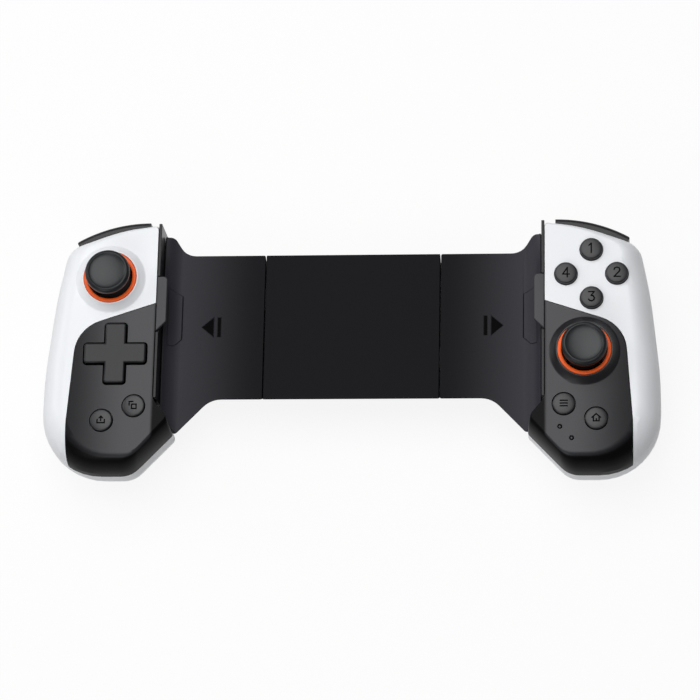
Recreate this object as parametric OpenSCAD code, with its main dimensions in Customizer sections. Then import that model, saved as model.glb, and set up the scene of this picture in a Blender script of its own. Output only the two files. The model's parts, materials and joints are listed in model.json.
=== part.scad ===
// Stretch-fit game controller for a phone: two grips on a telescopic bridge.
// Millimetres. +Z points out of the front face and +Y towards the shoulder buttons.
// The origin lies on the table, under the middle of the closed controller.

/* [Overall] */
// Width of a grip, from its inner side to its outer side
grip_w = 40.65; // [38:0.05:45]
// Upper control's centre below the bumper's outer edge
upper_drop = 23.35; // [23:0.05:26]
// Lower control's centre below the upper control's centre
control_pitch = 27.9; // [26.5:0.1:31]
// Handle's end below the lower control's centre
handle_l = 42.2; // [40:0.1:47]
// Height of the front face above the back of the handles
face_z = 32; // [31:0.5:34]

/* [Phone slot] */
// Closed distance between the inner walls
slot_w = 136.2; // [135:0.2:138]
// Stretch of each grip
travel = 23; // [16:0.5:24]
// Height of the lips' underside above the bridge
lip_clear = 11; // [9:0.5:11.5]
// Reach of each lip past its inner wall
lip_reach = 2.6; // [1.6:0.1:3.2]
// Length of each lip along the wall
lip_l = 20.5; // [16:0.5:24]
// Thickness of each lip
lip_t = 1.8; // [1.4:0.1:2.2]

/* [Bridge] */
// Length of the bridge across the phone
bridge_h = 54.4; // [53:0.2:58]
// Bridge centre line above the middle of the grips
bridge_y = 9.2; // [8:0.2:10]
// Thickness of the bridge
bridge_t = 8.5; // [8:0.1:9.5]
// Height of the bridge's back above the table
bridge_z = 10.5; // [9.5:0.1:11]
// How far the bridge's edges draw in towards its back
bridge_under = 2.7; // [2.2:0.1:3]
// Wall of the bridge housings
bridge_wall = 1.8; // [1.5:0.1:2]
// Width of the centre housing
centre_w = 63; // [61:0.5:66]
// Radius of the hollow where a wing meets its wall
wing_fillet = 7; // [5.5:0.1:8]
// Thickness of the hexagonal wing pads
pad_t = 0.5; // [0.4:0.05:0.6]

/* [Stretch drive] */
// Teeth on the pinion
pinion_teeth = 12; // [12:2:14]
// Gear module of pinion and racks
gear_module = 1; // [0.9:0.05:1.1]
// Radius of the pinion's pin
pinion_pin_r = 1.5; // [1.2:0.1:2]
// Width of each slide arm behind its teeth
arm_w = 8; // [7.5:0.1:9]
// Turns of each return spring
spring_turns = 14; // [8:1:18]
// Wire diameter of the return springs
spring_wire = 0.6; // [0.4:0.05:0.7]

/* [Grip shells] */
// Side wall of the shells
wall = 1.6; // [1.4:0.1:1.8]
// Thickness of the front skin
skin = 1.8; // [1.6:0.1:2]
// Height of the parting line between front and rear shells
seam_z = 20.5; // [20:0.25:21]
// Height of the widest section
widest_z = 15; // [13:0.5:17]
// Share of the outline that is flat on the back
palm_flat = 0.45; // [0.4:0.01:0.5]
// Front edge roll-off on the outer side
roll_side = 9; // [7:0.5:10]
// Front edge roll-off along the top
roll_top = 2.2; // [1.8:0.1:2.6]
// Front edge roll-off at the handle's end
roll_end = 6; // [5:0.5:7]
// Radius of the handle's outer end
handle_r = 22; // [18:0.5:24]

/* [Sticks] */
// Radius of a stick's thumb cap
cap_r = 8; // [7.5:0.1:8.4]
// Thickness of a thumb cap
cap_t = 4; // [3.5:0.1:4.5]
// Radius of a stick's shaft
shaft_r = 1.6; // [1.4:0.1:1.8]
// Outer radius of the collar ring
ring_r = 9.5; // [9.3:0.1:9.8]
// Width of the collar ring
ring_w = 1.45; // [1.3:0.05:1.5]
// Radius of the mound around a stick
mound_r = 12.7; // [12.2:0.1:13]
// Height of the mound above the face
mound_h = 2.6; // [2.2:0.1:2.8]
// Tilt of a stick on each axis
stick_tilt = 13; // [8:1:13]
// Click travel of a thumb cap
stick_click = 0.5; // [0.3:0.1:0.6]

/* [Buttons] */
// Radius of the face buttons
face_button_r = 3.95; // [3.7:0.05:4.2]
// Face button centres from the middle of their cluster
face_button_pitch = 9; // [8.8:0.1:9.4]
// Height of the face buttons above the face
face_button_h = 2; // [1.5:0.1:2.4]
// Radius of the small round buttons
small_button_r = 4; // [3.6:0.05:4.05]
// Height of the small round buttons above the face
small_button_h = 0.9; // [0.6:0.1:1.4]
// Travel of every push button
button_travel = 1; // [0.6:0.1:1]
// Span of the d-pad
dpad_span = 22.2; // [21:0.1:23]
// Width of the d-pad's arms
dpad_arm = 7.5; // [7.4:0.1:8]
// Height of the d-pad above the face
dpad_h = 1.4; // [1.2:0.1:1.8]

/* [Shoulders] */
// Outer radius of the bumper's arc
shoulder_r = 52; // [50:0.5:56]
// Thickness of the bumper along Z
bumper_t = 7.6; // [7:0.1:7.8]
// How far the bumper stands out past the grip's inner top corner
bumper_proud = 1.7; // [1.4:0.1:2]
// Swing of the bumper
bumper_swing = 2.5; // [1:0.5:3]
// Swing of the trigger
trigger_swing = 12; // [6:1:12]
// Radius of the shoulder pins
shoulder_pin_r = 0.9; // [0.7:0.05:1]

/* [Inside] */
// Thickness of the circuit boards
board_t = 1.2; // [1:0.1:1.4]
// Radius of the shell screws
screw_r = 1.2; // [1:0.05:1.3]
// Thickness of the battery
battery_t = 5.5; // [4:0.5:7]

/* [Hidden] */
$fn = 48;
// Clearance between pieces that move past each other
run_gap = 0.3;
// Radial clearance of pins in their bores
pin_fit = 0.05;
// Gap between pieces fixed side by side
seat_gap = 0.15;
// Joint line between white cover and dark plate
trim_gap = 0.25;
// Overlap of a cutting solid past the face it cuts
over = 1;
// Half the length of a grip, from the handle's end to the bumper's edge
half_h = (upper_drop + control_pitch + handle_l) / 2;
upper_y = half_h - upper_drop;
lower_y = upper_y - control_pitch;
roof_z = face_z - skin;

// Bridge levels
bridge_top = bridge_z + bridge_t;
cavity_z = bridge_z + bridge_wall;
cavity_top = bridge_top - bridge_wall;
bridge_lo = bridge_y - bridge_h / 2;
bridge_hi = bridge_y + bridge_h / 2;
room_h = bridge_h - 2 * (bridge_wall + bridge_under);
centre_x = centre_w / 2;
panel_x = centre_x + run_gap;

// Inner walls and the shells behind them
frame_t = 1.1;
frame_lo = 3;
frame_hi = 0.6;
frame_in = 0.3;
wall_x = slot_w / 2;
shell_x = wall_x + frame_t + seat_gap;
half_w = shell_x + grip_w;
wing_x = wall_x - seat_gap;
wing_axis_x = wing_x - wing_fillet;
wing_axis_z = bridge_top + wing_fillet;
wing_drop = 2.5;
wing_top_z = wing_axis_z - wing_drop;
wing_ear = 4.2;
pad_drop = 0.2;
pad_ends = [7.25, 14.25];
pad_sides = [0.6, 1.6];
pad_cut = 2.6;
wing_neck = 8.85;
wing_neck_r = 6.5;
wing_crest = [4.25, 6.65];
wing_crest_r = 1.5;
wing_heel = 19.15;
wing_heel_r = 9;
wing_tip_in = [0.2, 0.5];
wing_tip_r = 0.6;
wing_corner = 0.3;
lip_z = bridge_top + lip_clear;
lip_down = 5.3;
lip_y = bridge_y - lip_down;
lip_round = 1.5;
lip_tab_t = 0.8;
lip_tab_h = 2.2;

// Grip outline: corners as x, y, rounding radius and arc steps
top_y = half_h - bumper_proud;
bend_up = 23;
bend_r = 6;
bend_y = bend_up - half_h;
toe_up = 15.6;
toe_out = 6.75;
toe_r = 1.5;
toe_y = toe_up - half_h;
heel_in = 8.15;
heel_r = 9;
waist_down = 6.7;
waist_r = 150;
hip_in = [3.2, 4.6];
hip_r = 150;
shoulder_in = [6.7, 8.35];
shoulder_corner = 7;
top_bend = [14.65, 1.65];
top_r = 70;
top_corner = 1;
grip_outline = [
  [shell_x, top_y, top_corner, 2],
  [shell_x, bend_y, bend_r, 4],
  [shell_x - toe_out, toe_y, toe_r, 3],
  [shell_x + heel_in, -half_h, heel_r, 5],
  [half_w, -half_h, handle_r, 10],
  [half_w, lower_y - waist_down, waist_r, 3],
  [half_w - hip_in.x, upper_y - hip_in.y, hip_r, 3],
  [half_w - shoulder_in.x, top_y - shoulder_in.y, shoulder_corner, 5],
  [shell_x + top_bend.x, top_y - top_bend.y, top_r, 5]
];
// Middle of the flat on the back of a handle
palm_in = [20.65, -8];
palm = [shell_x + palm_in.x, palm_in.y];
// Point inside every section, about which the end caps fan out
hub_in = [18.65, -14];
cap_hub = [shell_x + hub_in.x, hub_in.y];
rear_steps = 6;
roll_steps = 6;

// Control positions: in from the grip's inner side and, for the small ones, below the lower control
upper_in = 16.45;
lower_in = 13.85;
upper_at = [shell_x + upper_in, upper_y];
lower_at = [shell_x + lower_in, lower_y];
face_up = 0.6;
face_at = upper_at + [0, face_up];
inner_button_in = [6.55, 19.3];
outer_button_in = [17.85, 24.6];
inner_button_at = below_lower(inner_button_in);
outer_button_at = below_lower(outer_button_in);
lights_in = [[5.15, 27.5], [9.25, 31.6]];
light_at = [for (p = lights_in) below_lower(p)];
light_r = 0.85;
light_sunk = 0.1;
function below_lower(p) = [shell_x + p.x, lower_at.y - p.y];

// Joint line between white cover and dark plate, from the inner wall to the handle's end
split_over = 12;
split_drop = 5;
split_bend = [14.3, 9.6];
split_bend_r = 13;
split_heel = [16.8, 25.5];
split_heel_r = 30;
split_line = [
  [shell_x - split_over, upper_at.y - split_drop, 0, 0],
  [lower_at.x + split_bend.x, lower_at.y + split_bend.y, split_bend_r, 7],
  [lower_at.x + split_heel.x, lower_at.y - split_heel.y, split_heel_r, 3],
  [lower_at.x + split_heel.x, -half_h - split_over, 0, 0]
];
region_far = 2 * half_w;

// Arrow marks on the bridge
arrow_in = 15.15;
arrow_tip_x = shell_x - arrow_in;
arrow_h = 7.2;
arrow_l = 4.2;
arrow_bar = 1.1;
arrow_bar_gap = 1.5;
arrow_depth = 0.3;

// Push buttons
button_gap = 0.3;
flange_over = 0.45;
flange_t = 1.1;
flange_top = roof_z - run_gap;
dome_t = 0.6;
dome_r = 2.2;
stem_r = 1.5;
crown_drop = 0.2;
crown_round = 0.6;
board_z = seam_z;
board_top = board_z + board_t;
board_in = 2.4;
board_draw = 0.12;
dome_gap = 0.2;
stem_bottom = board_top + dome_t + button_travel + dome_gap;

// Sticks
pivot_down = 12;
pivot_z = face_z - pivot_down;
ring_proud = 0.2;
ring_top = face_z + mound_h + ring_proud;
ring_t = 1.6;
ring_inner = ring_r - ring_w;
hatch_over = 0.25;
hatch_r = ring_inner + hatch_over;
mound_foot = 0.5;
mound_z = roof_z - mound_foot;
mound_slope = [1.1, 0.35];
mound_crown = [1, 0.75];
mound_lip = 0.5;
cap_lift = 1.4;
cap_bottom = ring_top + cap_r * sin(stick_tilt) + cap_lift;
cap_roof = 1.4;
neck_wall = 1;
neck_r = shaft_r + neck_wall;
cap_edge = 0.5;
cap_round = 1.5;
cap_rim = 1.8;
cap_dish = [3, 0.4];
cup_r = norm([hatch_r, mound_z - pivot_z]) - 2 * run_gap;
cup_t = 1;
cup_angle = 45 - stick_tilt;
neck_lift = 0.8;
neck_bottom = pivot_z + cup_r + stick_click + neck_lift;
yoke_half = 5.5;
yoke_t = 4;
yoke_wall = 2;
yoke_in = yoke_half - yoke_wall;
yoke_side_gap = 0.9;
axle_r = 1.2;
axle_end = 0.2;
yoke_gap = 0.8;
housing_in = yoke_half + yoke_gap;
housing_wall = 2;
housing_half = housing_in + housing_wall;
housing_floor = 1;
housing_down = 6.8;
housing_up = 5.2;
housing_bottom = pivot_z - housing_down;
housing_top = pivot_z + housing_up;

// D-pad
dpad_gap = 0.5;
dpad_corner = 1;
dpad_pivot_down = 0.8;
dpad_pivot_z = roof_z - dpad_pivot_down;
dpad_under = 1.2;
dpad_bottom = dpad_pivot_z - dpad_under;
dpad_axle_r = 0.8;
dpad_block = 3.2;
dpad_block_h = 2.6;
dpad_block_gap = 1;
dpad_post_gap = 1.6;
dpad_post_in = dpad_block / 2 + dpad_post_gap;
dpad_post_t = 1.8;
dpad_post_w = 3.2;
dpad_post_up = 1.3;
dpad_post_top = dpad_pivot_z + dpad_post_up;
dpad_axle_short = 0.1;
dpad_axle_l = dpad_post_in + dpad_post_t - dpad_axle_short;
dpad_side_gap = 0.8;
dpad_end_gap = 0.6;
dpad_room_z = dpad_post_top + dpad_end_gap;
dpad_eye_t = 1.4;
dpad_skirt_in = 3.1;
dpad_skirt_r = dpad_span / 2 - dpad_skirt_in;
dpad_skirt_t = 1;

// Shoulder pieces share one arc
arc_in = 4.05;
arc_at = [shell_x + arc_in, half_h - shoulder_r];
arc_ends = [40, 120];
function arc_angle(x) = acos((x - arc_at.x) / shoulder_r);
bumper_down = 1.1;
bumper_z = seam_z - bumper_down;
bumper_depth = 5;
bumper_soft = 1.6;
bumper_edge = 0.3;
bumper_round = [2.4, 1.4];
bumper_in = -0.4;
bumper_out = 10.1;
bumper_arc = [arc_angle(half_w - bumper_out), arc_angle(arc_at.x + bumper_in)];
bumper_side = 1;
bumper_slot_arc = [
  arc_angle(half_w - bumper_out + bumper_side),
  arc_angle(arc_at.x + bumper_in - bumper_side)
];
bumper_reach = 2 * shoulder_r * sin((bumper_arc[1] - bumper_arc[0]) / 2);
bumper_stop = 1.8;
bumper_room = bumper_reach * sin(bumper_swing) + bumper_stop;
bumper_back = shoulder_r - bumper_depth - bumper_room;
bumper_pin_in = [2.6, 5.3];
bumper_pin_at = [arc_at.x + bumper_pin_in.x, half_h - bumper_pin_in.y];
bumper_eye_r = 2.4;
bumper_pin_end = 0.8;
pin_play = 0.1;
shelf_t = 1.8;
shelf_z = bumper_z - run_gap - pin_play - shelf_t;
shelf_in = 0.8;
trigger_gap = 0.4;
trigger_top = shelf_z - trigger_gap;
trigger_in = 2.4;
trigger_out = 12.3;
trigger_x = [arc_at.x + trigger_in, half_w - trigger_out];
trigger_side = 0.5;
trigger_arc = [arc_angle(trigger_x[1] - trigger_side), arc_angle(trigger_x[0] + trigger_side)];
trigger_eye_r = 2.6;
trigger_clear = 1;
trigger_pin_down = 2.8;
trigger_pin_at = [
  upper_y + housing_half + trigger_eye_r + trigger_clear,
  trigger_top - trigger_pin_down
];
trigger_lo_z = 3.8;
trigger_tip_in = 6.6;
trigger_drop = (half_h - trigger_tip_in - trigger_pin_at.x) * sin(trigger_swing) + seat_gap;
trigger_eye_in = [1.6, 3.2];
trigger_eye_x = [trigger_x[0] + trigger_eye_in[0], trigger_x[1] - trigger_eye_in[1]];
trigger_web = [12, 6, 2.8];
blade_in = 0.7;
blade_top_t = 7;
blade_tip_t = 2.4;
blade_rise = 6;
blade_soft = 1.2;
cheek_t = 1.8;
cheek_r = 3.4;

// Shell screws
outer_screw_in = [8, 2.7];
inner_screw_in = [4.25, 13.3];
end_screw_in = [27.15, 9.5];
upper_screw_in = [9, 12.6];
screw_at = [
  [half_w - outer_screw_in.x, lower_at.y - outer_screw_in.y],
  [shell_x + inner_screw_in.x, lower_at.y + inner_screw_in.y],
  [shell_x + end_screw_in.x, end_screw_in.y - half_h],
  [half_w - upper_screw_in.x, upper_at.y - upper_screw_in.y]
];
boss_r = 2.7;
rear_boss_r = 3.6;
shank_end = 2.4;
head_r = 2.2;
head_t = 1.8;
head_z = 5.2;

// Battery lies on the palm's flat, beside the outer screw's boss
battery_in = 12.65;
battery_gap = 0.4;
battery_x = [shell_x + battery_in, half_w - outer_screw_in.x - rear_boss_r - battery_gap];
battery_l = 30;
battery_shift = 1;
battery_lift = 0.6;

// Charging port in the right handle's end
port_w = 8.9;
port_h = 3.2;
port_l = 7;
port_in = [17, 3.6, 8];
port_at = [shell_x + port_in.x, port_in.y - half_h, port_in.z];
port_gap = 0.2;
port_wall = 1.6;
port_grip = 1.5;
port_metal = 0.3;
port_back = 1;
port_tongue = [5.9, 0.7];
// Half thickness short of a full round, so that a flat stretch stays between the ends
port_flat = 0.01;

// Stretch drive
pitch_r = pinion_teeth * gear_module / 2;
pressure = 20;
base_r = pitch_r * cos(pressure);
tip_r = pitch_r + gear_module;
root_r = pitch_r - 1.35 * gear_module;
gear_play = 0.15;
tooth_half = (180 / pinion_teeth - gear_play / 2 / pitch_r * 180 / PI) / 2;
tooth_foot = 0.6;
rack_add = 0.6 * gear_module;
rack_ded = 1.3 * gear_module;
rack_pitch = PI * gear_module;
drive_gap = 0.35;
drive_z = cavity_z + drive_gap;
drive_t = cavity_top - cavity_z - 2 * drive_gap;
arm_lo = pitch_r + rack_ded;
arm_hi = arm_lo + arm_w;
arm_run = 4.2;
arm_tip = travel + arm_run;
arm_hold = 25;
arm_root = panel_x + arm_hold;
root_l = 18;
root_wide = 3;
rack_from = -2 * rack_pitch;
rack_short = 1.2;
rack_to = floor((arm_tip - rack_short) / rack_pitch) * rack_pitch;
tooth_root = 0.2;
groove_w = 4.4;
groove_mid = arm_lo + arm_w / 2;
groove_wall = 2;
groove_end = arm_tip - groove_wall;
peg_in = 2.4;
peg_x = centre_x - bridge_wall - peg_in;
peg_t = 2.2;
guide_t = 1.2;
spring_r = 1.5;
bridge_screw_r = 0.9;
bridge_head_r = 1.8;
bridge_head_t = 0.8;
bridge_head_in = 0.1;
bridge_screw_in = [5.5, 6];
bridge_screws_at = [
  for (sx = [-1, 1], sy = [-1, 1])
    [sx * (centre_x - bridge_screw_in.x), bridge_y + sy * (bridge_h / 2 - bridge_screw_in.y)]
];
bridge_post_r = 2.4;
bridge_bore_end = 0.4;

// Colours as the photo shows them
white_c = "#e9ebee";
dark_c = "#4a4c50";
black_c = "#2a2b2e";
orange_c = "#f0641e";
steel_c = "#b4b8bc";
board_c = "#2f5d46";
foil_c = "#8fa3b5";
lens_c = "#d8dde0";

// Vector helpers
function unit(v) = v / norm(v);
function turn(a) = a > 180 ? a - 360 : a < -180 ? a + 360 : a;
function xy(p) = [p[0], p[1]];

// One rounded corner b between neighbours a and c
function corner(a, b, c, r, n) = r == 0 ? [b] :
  let (u = unit(a - b), v = unit(c - b), open = acos(u * v),
       p = b + u * r / tan(open / 2), q = b + v * r / tan(open / 2),
       o = b + unit(u + v) * r / sin(open / 2),
       from = atan2(p.y - o.y, p.x - o.x), sweep = turn(atan2(q.y - o.y, q.x - o.x) - from))
  [for (i = [0:n]) o + r * [cos(from + sweep * i / n), sin(from + sweep * i / n)]];

// Closed outline with every corner rounded
function rounded(pts) = let (n = len(pts))
  [for (i = [0:n - 1])
    let (before = pts[(i + n - 1) % n], after = pts[(i + 1) % n])
    each corner(xy(before), xy(pts[i]), xy(after), pts[i][2], pts[i][3])];

// Left normal of an edge, which points into an outline that runs anticlockwise
function inward(a, b) = let (u = unit(b - a)) [-u.y, u.x];

// Outline moved inwards by d, with its rounding kept concentric
function inset(pts, d) = let (n = len(pts))
  [for (i = [0:n - 1])
    let (a = xy(pts[(i + n - 1) % n]), b = xy(pts[i]), c = xy(pts[(i + 1) % n]),
         m = inward(a, b), k = inward(b, c), hollow = cross(b - a, c - b) < 0,
         s = b + d * (m + k) / (1 + m * k), r = hollow ? pts[i][2] + d : pts[i][2] - d)
    [s.x, s.y, max(r, 0.3), pts[i][3]]];

// Front section: the outline draws in towards the inner wall as k goes from 0 to 1
function drawn_in(p, k) =
  let (side = roll_side / (half_w - shell_x),
       end = p.y > palm.y ? roll_top / (top_y - palm.y) : roll_end / (palm.y + half_h))
  [shell_x + (p.x - shell_x) * (1 - k * side), palm.y + (p.y - palm.y) * (1 - k * end)];
function front_ring(pts, k, z) = [for (p = pts) let (q = drawn_in(p, k)) [q.x, q.y, z]];
function rear_ring(pts, s, z) = [for (p = pts) let (q = palm + (p - palm) * s) [q.x, q.y, z]];

// Skin over a stack of rings with equal numbers of points, its end caps fanned out about a hub
module loft(rings, fan) {
  n = len(rings[0]);
  last = (len(rings) - 1) * n;
  sides = [for (j = [0:len(rings) - 2], i = [0:n - 1], half = [0:1])
    let (a = j * n + i, b = j * n + (i + 1) % n)
    half == 0 ? [a, a + n, b + n] : [a, b + n, b]];
  hub = len(rings) * n;
  mids = [for (r = [rings[0], rings[len(rings) - 1]]) [fan.x, fan.y, r[0].z]];
  caps = [for (i = [0:n - 1], end = [0:1]) let (k = (i + 1) % n)
    end == 0 ? [hub, i, k] : [hub + 1, last + k, last + i]];
  polyhedron(concat([for (r = rings) each r], mids), concat(sides, caps));
}

// Solid front half, its skin moved in by d under a top at z
module front_solid(d, z, foot) {
  pts = rounded(inset(grip_outline, d));
  low = [for (f = foot > 0 ? [foot] : []) front_ring(pts, 0, seam_z - f)];
  rolls = [for (i = [0:roll_steps]) let (a = 90 * i / roll_steps)
    front_ring(pts, 1 - cos(a), seam_z + (z - seam_z) * sin(a))];
  loft(concat(low, rolls), cap_hub);
}

// Solid rear half, its skin moved in by d above a floor at z
module rear_solid(d, z, top) {
  pts = rounded(inset(grip_outline, d));
  bowl = [for (i = [0:rear_steps]) let (a = 90 * (1 - i / rear_steps))
    rear_ring(pts, palm_flat + (1 - palm_flat) * cos(a), z + (widest_z - z) * (1 - sin(a)))];
  loft(concat(bowl, [rear_ring(pts, 1, top)]), cap_hub);
}

// Sector of a ring about the shoulder arc's centre
module sector(r0, r1, arc, z, h) {
  translate([arc_at.x, arc_at.y, z]) rotate([0, 0, arc[0]])
    rotate_extrude(angle = arc[1] - arc[0]) translate([r0, 0]) square([r1 - r0, h]);
}

// Upright cylinder at a plan position
module post(at, z, h, r) {
  translate([at.x, at.y, z]) cylinder(r = r, h = h);
}

// Cylinder along X or Y from its low end
module rod_x(at, l, r) {
  translate(at) rotate([0, 90, 0]) cylinder(r = r, h = l);
}
module rod_y(at, l, r) {
  translate(at) rotate([-90, 0, 0]) cylinder(r = r, h = l);
}

// Rectangle with round corners, centred
module soft_rect(w, h, r) {
  square([w - 2 * r, h], center = true);
  square([w, h - 2 * r], center = true);
  for (sx = [-1, 1], sy = [-1, 1]) translate([sx * (w / 2 - r), sy * (h / 2 - r)]) circle(r);
}

// Cross of the d-pad, grown by g
module cross_2d(g) {
  for (a = [0, 90]) rotate(a) soft_rect(dpad_span + 2 * g, dpad_arm + 2 * g, dpad_corner + g);
}

// Mirror for the left grip
module on_left() {
  mirror([1, 0, 0]) children();
}

// Half turn about the pinion for the right drive pieces
module half_turn() {
  translate([0, bridge_y, 0]) rotate([0, 0, 180]) translate([0, -bridge_y, 0]) children();
}

// Plan regions of white cover and dark plate
function moved(pts, d) = [for (p = pts) [p[0] - d, p[1] - d, p[2], p[3]]];
function split_pts(d) = let (s = moved(split_line, d))
  [for (i = [0:len(s) - 1]) each (s[i][2] == 0 ? [xy(s[i])]
    : corner(xy(s[i - 1]), xy(s[i]), xy(s[i + 1]), s[i][2], s[i][3]))];
module dark_region() {
  polygon(concat(split_pts(0), [[0, -region_far], [0, split_line[0][1]]]));
}
module white_region() {
  far = [[region_far, -region_far], [region_far, region_far], [split_line[0][0], region_far]];
  polygon(concat(split_pts(trim_gap), far));
}

// Way for the bumper through both halves of a grip
module bumper_slot() {
  sector(bumper_back, shoulder_r + 3 * over, bumper_slot_arc, bumper_z - run_gap, bumper_t + 2 * run_gap);
}

// Hollow front half with its screw bosses
module front_blank() {
  difference() {
    front_solid(0, face_z, 0);
    difference() {
      front_solid(wall, roof_z, over);
      for (s = screw_at) post(s, board_top + seat_gap, face_z, boss_r);
      post(bumper_pin_at, bumper_z, face_z, bumper_eye_r);
    }
    for (s = screw_at) post(s, seam_z - over, roof_z - seam_z, screw_r + pin_fit);
    bumper_slot();
    post(bumper_pin_at, bumper_z, roof_z - bumper_z - bumper_pin_end + pin_play, shoulder_pin_r + pin_fit);
  }
}

// Raised seat around a stick, with the ledge that carries the collar ring
module mound(at) {
  translate([at.x, at.y, 0]) rotate_extrude() polygon([
    [hatch_r, mound_z], [mound_r, mound_z], [mound_r, face_z],
    [mound_r - mound_slope.x, face_z + mound_slope.y * mound_h],
    [ring_r + mound_crown.x, face_z + mound_crown.y * mound_h],
    [ring_r + mound_lip, face_z + mound_h], [hatch_r, face_z + mound_h]
  ]);
}
module mound_cuts(at) {
  post(at, seam_z, face_z, hatch_r);
  post(at, ring_top - ring_t - seat_gap, face_z, ring_r + seat_gap);
}

// Way for a push button, with room for its flange beside the rolled edge
module button_hole(at, r) {
  post(at, roof_z - over, skin + 2 * over, r + button_gap);
  post(at, roof_z - 3 * over, 3 * over - pin_fit, r + button_gap + flange_over + run_gap);
}

module face_button_holes() {
  for (b = [0:3]) button_hole(face_button_at(b), face_button_r);
}

// Front pieces: the stick lies high on the left grip and low on the right one
module front_cover(stick) {
  color(white_c) difference() {
    union() {
      front_blank();
      if (stick) mound(upper_at);
    }
    translate([0, 0, seam_z - over]) linear_extrude(face_z) dark_region();
    if (stick) mound_cuts(upper_at);
    else face_button_holes();
  }
}
module front_plate(stick) {
  color(dark_c) difference() {
    union() {
      front_blank();
      if (stick) mound(lower_at);
    }
    translate([0, 0, seam_z - over]) linear_extrude(face_z) white_region();
    if (stick) {
      mound_cuts(lower_at);
      face_button_holes();
      for (p = light_at) post(p, board_top, face_z, light_r + pin_fit);
    }
    else translate([lower_at.x, lower_at.y, roof_z - over])
      linear_extrude(skin + 2 * over) cross_2d(dpad_gap);
    button_hole(inner_button_at, small_button_r);
    button_hole(outer_button_at, small_button_r);
  }
}

// Cheeks that carry the trigger's pin
module cheeks() {
  for (x = [trigger_x[0] - cheek_t - run_gap, trigger_x[1] + run_gap])
    translate([x, trigger_pin_at.x - cheek_r, trigger_pin_at.y - cheek_r])
      cube([cheek_t, half_h, shelf_z + shelf_t / 2 - trigger_pin_at.y + cheek_r]);
}
// Sleeve that holds the charging port, and the way through it
module port_sleeve() {
  translate([port_at.x - port_w / 2 - port_wall, -half_h, port_at.z - port_h / 2 - port_wall])
    cube([port_w + 2 * port_wall, port_at.y + port_l - port_grip + half_h, port_h + 2 * port_wall]);
}
module port_way() {
  translate([port_at.x, -half_h - over, port_at.z]) rotate([-90, 0, 0])
    linear_extrude(port_at.y + half_h + port_l + over)
      soft_rect(port_w + 2 * port_gap, port_h + 2 * port_gap, port_h / 2 + port_gap - port_flat);
}
// Shelf between bumper and trigger
module shelf() {
  translate([0, 0, shelf_z]) linear_extrude(shelf_t) difference() {
    polygon(rounded(inset(grip_outline, wall / 2)));
    translate(arc_at) circle(bumper_back - shelf_in);
  }
}
module rear_shell(port) {
  top = seam_z - seat_gap;
  slot_w = trigger_x[1] - trigger_x[0] + 2 * run_gap;
  slot_z = trigger_lo_z - trigger_drop;
  pin_l = slot_w + 2 * (cheek_t + over);
  color(white_c) difference() {
    union() {
      difference() {
        rear_solid(0, 0, top);
        difference() {
          rear_solid(wall, wall, top + over);
          for (s = screw_at) post(s, 0, board_z, rear_boss_r);
          cheeks();
          if (port) port_sleeve();
        }
      }
      shelf();
    }
    for (s = screw_at) {
      post(s, -over, board_z + 2 * over, screw_r + pin_fit);
      post(s, -over, head_z + head_t + over, head_r + seat_gap);
    }
    bumper_slot();
    post(bumper_pin_at, shelf_z - over, bumper_t, shoulder_pin_r + pin_fit);
    translate([trigger_x[0] - run_gap, trigger_pin_at.x - trigger_eye_r - over, slot_z])
      cube([slot_w, half_h, shelf_z - pin_play - slot_z]);
    rod_x([trigger_x[0] - cheek_t - run_gap - over, trigger_pin_at.x, trigger_pin_at.y],
      pin_l, shoulder_pin_r + pin_fit);
    if (port) port_way();
  }
}

// Inner wall that backs the phone's end, notched for its lip
module inner_wall() {
  lo = bend_y + frame_lo;
  color(black_c) difference() {
    translate([wall_x, lo, bridge_z]) cube([frame_t, top_y - frame_hi - lo, face_z - frame_in - bridge_z]);
    translate([wall_x - over, lip_y - seat_gap, lip_z - seat_gap])
      cube([frame_t + 2 * over, lip_l + 2 * seat_gap, face_z]);
  }
}

// Lip over the phone's edge, with a slanted lower end and a tab against the wall
module phone_lip() {
  inner = wall_x - lip_reach;
  outer = wall_x + frame_t;
  slant = lip_reach + frame_t;
  color(dark_c) union() {
    translate([0, 0, lip_z]) linear_extrude(lip_t) polygon(rounded([
      [outer, lip_y, 0, 0], [outer, lip_y + lip_l, 0, 0],
      [inner, lip_y + lip_l, lip_round, 4], [inner, lip_y + slant, 0, 0]
    ]));
    translate([wall_x - seat_gap - lip_tab_t, lip_y + slant, lip_z - lip_tab_h])
      cube([lip_tab_t, lip_l - slant - over, lip_tab_h + lip_t / 2]);
  }
}

// Hexagonal pad let into the hollow of the wing
module pad_2d(g) {
  lo = bridge_y - pad_ends[0];
  hi = bridge_y + pad_ends[1];
  in = wing_axis_x + pad_sides[0];
  out = wing_x - pad_sides[1];
  polygon([
    [out + g, hi + g], [in - g, hi - pad_cut + g], [in - g, lo + pad_cut - g],
    [in + pad_cut, lo - g], [out + g, lo - g]
  ]);
}
module wing_hollow(r) {
  rod_y([wing_axis_x, -half_h, wing_axis_z], 2 * half_h, r);
}
module wing_pad() {
  color(dark_c) intersection() {
    translate([0, 0, bridge_z]) linear_extrude(face_z) pad_2d(-seat_gap / 2);
    difference() {
      wing_hollow(wing_fillet + pad_t);
      wing_hollow(wing_fillet);
    }
    translate([0, 0, bridge_z]) linear_extrude(wing_top_z - pad_drop - bridge_z) pad_2d(over);
  }
}

// The bridge's edges lean in towards its back, so that they vanish from the front
function undercut(z) = bridge_under * (bridge_top - z) / bridge_t;
module bridge_slab(x, w, lo, hi) {
  translate([x, 0, 0]) rotate([90, 0, 90]) linear_extrude(w) polygon([
    [bridge_lo + undercut(lo), lo], [bridge_hi - undercut(lo), lo],
    [bridge_hi - undercut(hi), hi], [bridge_lo + undercut(hi), hi]
  ]);
}

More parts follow.
